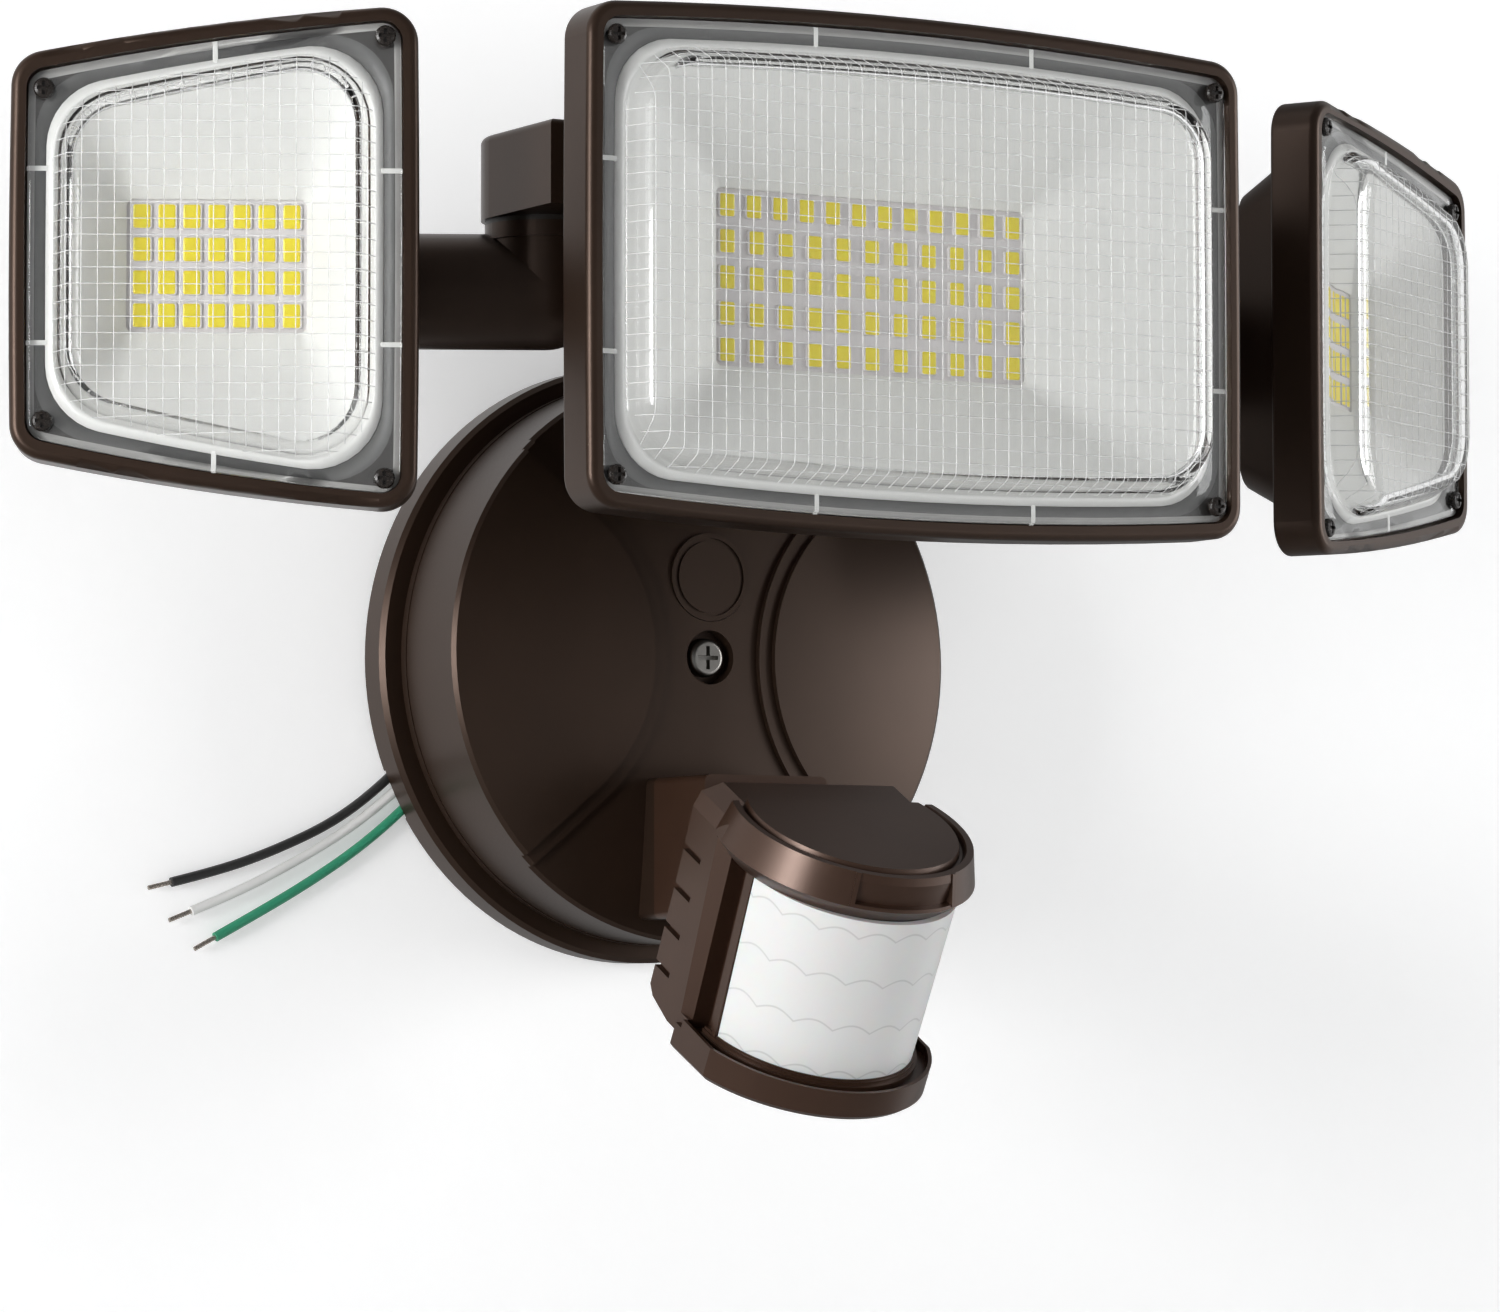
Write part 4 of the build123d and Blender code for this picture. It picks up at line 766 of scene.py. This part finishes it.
def tabPlaces(shape, place):
    # beside the left and right edges, then under the top and bottom edges
    inset, depth = gasketLook["tabInset"], gasketLook["tabDepth"]
    beside = [place @ Vector((side * (shape["halfWidth"] + shape["sideBow"] - inset), depth, z))
              for side in (-1, 1) for z in shape["tabs"]["side"]]
    under = []
    for x in shape["tabs"]["top"]:
        share = x / shape["halfWidth"]
        straight = (shape["halfOuter"] * (1 + share) + shape["halfInner"] * (1 - share)) / 2
        height = straight + shape["bow"] * (1 - share ** 2) - inset
        under += [place @ Vector((x, depth, side * height)) for side in (-1, 1)]
    return beside, under


for headName, (kind, hand) in heads.items():
    shape = headShapes[kind]
    place = headPlace(shape, hand)
    turn = (0.0, 0.0, hand * math.radians(shape["turn"]))
    gasket = makeGasket(f"{headName}_gasket_ring", shape, place)
    flange = ringBand(f"{headName}_reflector_flange", shape, place, gasketLook["flangeRows"])
    flange.data.materials.append(materials["reflector_white"])
    beside, under = tabPlaces(shape, place)
    halfWide, halfLong = gasketLook["tabWide"] / 2, gasketLook["tabLong"] / 2
    tabs = []
    for where, halves, places in (("side", (halfLong, halfWide), beside),
                                  ("edge", (halfWide, halfLong), under)):
        tab = makePlate("tab", halves, gasketLook["tabCorner"], gasketLook["tabRows"])
        tabs.append(scatter(f"{headName}_gasket_{where}_tabs", tab, places, turn,
                            materials["reflector_white"]))
    chips = chipPlaces(shape, place)
    packages = scatter(f"{headName}_led_packages", makePlate(
        "package", chipLook["package"], chipLook["corner"], chipLook["packageRows"]),
        chips, turn, materials["led_board_white"])
    windows = scatter(f"{headName}_led_windows", makePlate(
        "window", chipLook["window"], chipLook["corner"], chipLook["windowRows"]),
        chips, turn, materials["led_phosphor"])
    screws = scatter(f"{headName}_corner_screws", makeCornerScrew("cornerScrew"),
                     screwPlaces(shape, place), turn, materials["black_oxide"])
    slots = ((gasket, "grey_silicone"), (flange, "reflector_white"), (tabs[0], "reflector_white"),
             (tabs[1], "reflector_white"), (packages, "led_phosphor"), (windows, "led_phosphor"),
             (screws, "screw_steel"))
    for piece, slotName in slots:
        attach(piece, f"{headName}_head")
    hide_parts(f"{headName}_gasket")
    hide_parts(f"{headName}_led_chips")
    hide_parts(f"{headName}_screws")
print("heads fitted out")


# every piece of the CAD takes the finish of its slot
for entry in frame["record"]["subparts"]:
    slotName = entry["material_slot"]
    if slotName in materials:
        piece = nodes[entry["node"]]
        piece.data.materials.clear()
        piece.data.materials.append(materials[slotName])
print("carried-over pieces finished")


stageLook = {
    "wallGap": 0.0006, "floorDrop": 0.24, "reach": 4.0, "tone": "#f2f2f2",
    # added for camera rays, from the floor up to this height
    "liftHeights": (-0.24, 0.3), "lift": (0.2, 0.5),
    # metres on the wall, and the least and greatest strength of the painted reflection that glossy rays
    # see; the least is painted shade
    "leftFade": (-0.05, 0.04), "lowFade": (-0.15, 0.0), "rightFade": (0.2, 0.5), "mirror": (0.28, 0.95),
    "through": 0.9,
}
white = colour("#ffffff")


def mirrorStrength(tree, axes):
    # painted reflection of a room for shiny parts: pale to the left above the sensor and far to the
    # right, with painted shade that dims it behind the light and on the floor in front of it
    fades = {}
    for fade, axis, first, last in (("leftFade", "X", 1.0, 0.0), ("lowFade", "Z", 0.0, 1.0),
                                    ("rightFade", "X", 0.0, 1.0)):
        fades[fade] = addNode(tree, "ShaderNodeMapRange", inputs={
            "Value": axes[axis], "From Min": stageLook[fade][0], "From Max": stageLook[fade][1],
            "To Min": first, "To Max": last}).outputs["Result"]
    left = addNode(tree, "ShaderNodeMath", {"operation": "MULTIPLY"}, {
        0: fades["leftFade"], 1: fades["lowFade"]})
    pale = addNode(tree, "ShaderNodeMath", {"operation": "MAXIMUM"}, {
        0: left.outputs[0], 1: fades["rightFade"]})
    strength = addNode(tree, "ShaderNodeMapRange", inputs={
        "Value": pale.outputs[0], "To Min": stageLook["mirror"][0], "To Max": stageLook["mirror"][1]})
    return strength.outputs["Result"]


def stageFinish():
    # pale matt paint, which glows to camera rays more with height, glows to glossy rays as a painted
    # reflection with painted shade behind the light, and glows white to rays through the lenses; from
    # behind it is clear, so that the back of the light shows
    material, tree = newMaterial("stage_paint")
    rays = addNode(tree, "ShaderNodeLightPath").outputs
    place = addNode(tree, "ShaderNodeTexCoord").outputs["Object"]
    axes = addNode(tree, "ShaderNodeSeparateXYZ", inputs={"Vector": place}).outputs
    paint = addNode(tree, "ShaderNodeBsdfDiffuse", inputs={"Color": colour(stageLook["tone"])})
    lift = addNode(tree, "ShaderNodeMapRange", inputs={
        "Value": axes["Z"], "From Min": stageLook["liftHeights"][0],
        "From Max": stageLook["liftHeights"][1], "To Min": stageLook["lift"][0],
        "To Max": stageLook["lift"][1]})
    glow = addNode(tree, "ShaderNodeEmission", inputs={
        "Color": white, "Strength": lift.outputs["Result"]})
    lifted = addNode(tree, "ShaderNodeAddShader", inputs={0: paint.outputs[0], 1: glow.outputs[0]})
    # painted reflection: what glossy rays see of the wall is a glow set by place, with painted shade
    # behind the light
    mirror = addNode(tree, "ShaderNodeEmission", inputs={
        "Color": white, "Strength": mirrorStrength(tree, axes)})
    through = addNode(tree, "ShaderNodeEmission", inputs={
        "Color": white, "Strength": stageLook["through"]})
    shader = paint
    for ray, seen in (("Is Camera Ray", lifted), ("Is Glossy Ray", mirror),
                      ("Is Transmission Ray", through)):
        shader = addNode(tree, "ShaderNodeMixShader", inputs={
            0: rays[ray], 1: shader.outputs[0], 2: seen.outputs[0]})
    clear = addNode(tree, "ShaderNodeBsdfTransparent")
    side = addNode(tree, "ShaderNodeNewGeometry")
    oneSided = addNode(tree, "ShaderNodeMixShader", inputs={
        0: side.outputs["Backfacing"], 1: shader.outputs[0], 2: clear.outputs[0]})
    addNode(tree, "ShaderNodeOutputMaterial", inputs={"Surface": oneSided.outputs[0]})
    return material


def makeStage():
    reach, drop, gap = stageLook["reach"], stageLook["floorDrop"], stageLook["wallGap"]
    finish = stageFinish()
    wall = [(-reach, gap, -drop), (reach, gap, -drop), (reach, gap, reach), (-reach, gap, reach)]
    floor = [(-reach, -reach, -drop), (reach, -reach, -drop), (reach, gap, -drop), (-reach, gap, -drop)]
    for name, corners in (("backdrop", wall), ("floor", floor)):
        mesh = bpy.data.meshes.new(name)
        mesh.from_pydata(corners, [], [(0, 1, 2, 3)])
        sheet = bpy.data.objects.new(name, mesh)
        bpy.context.scene.collection.objects.link(sheet)
        mesh.materials.append(finish)


lamps = {
    # place, aim, size, watts
    "windowLeft": ((-2.0, -0.3, 0.35), (0, -0.05, 0.0), 1.2, 14),
    "farRight": ((1.9, -1.0, 0.1), (0.05, -0.05, 0.0), 1.2, 26),
    "lowLeft": ((-1.6, -0.66, 0.06), (0, -0.08, 0.0), 0.5, 16),
}


def makeLamps():
    for name, (stand, aim, size, watts) in lamps.items():
        light = bpy.data.lights.new(name, "AREA")
        light.shape = "SQUARE"
        light.size = size
        light.energy = watts
        lamp = bpy.data.objects.new(name, light)
        bpy.context.scene.collection.objects.link(lamp)
        facing = (Vector(aim) - Vector(stand)).to_track_quat("-Z", "Y")
        lamp.matrix_world = Matrix.Translation(stand) @ facing.to_matrix().to_4x4()


skyLook = {"tint": (0.97, 0.98, 1.0, 1.0), "ambient": 0.22, "background": 1.0}


def makeWorld():
    # dim to the light itself, white to the camera and through the lenses
    world = bpy.data.worlds.new("studio")
    bpy.context.scene.world = world
    world.use_nodes = True
    tree = world.node_tree
    tree.nodes.clear()
    rays = addNode(tree, "ShaderNodeLightPath").outputs
    seen = addNode(tree, "ShaderNodeMath", {"operation": "MAXIMUM"}, {
        0: rays["Is Camera Ray"], 1: rays["Is Transmission Ray"]})
    ambient = addNode(tree, "ShaderNodeBackground", inputs={
        "Color": skyLook["tint"], "Strength": skyLook["ambient"]})
    background = addNode(tree, "ShaderNodeBackground", inputs={
        "Color": white, "Strength": skyLook["background"]})
    mix = addNode(tree, "ShaderNodeMixShader", inputs={
        0: seen.outputs[0], 1: ambient.outputs[0], 2: background.outputs[0]})
    addNode(tree, "ShaderNodeOutputWorld", inputs={"Surface": mix.outputs[0]})


makeStage()
makeLamps()
makeWorld()
bpy.context.scene.view_settings.view_transform = "Standard"
print("stage lit")
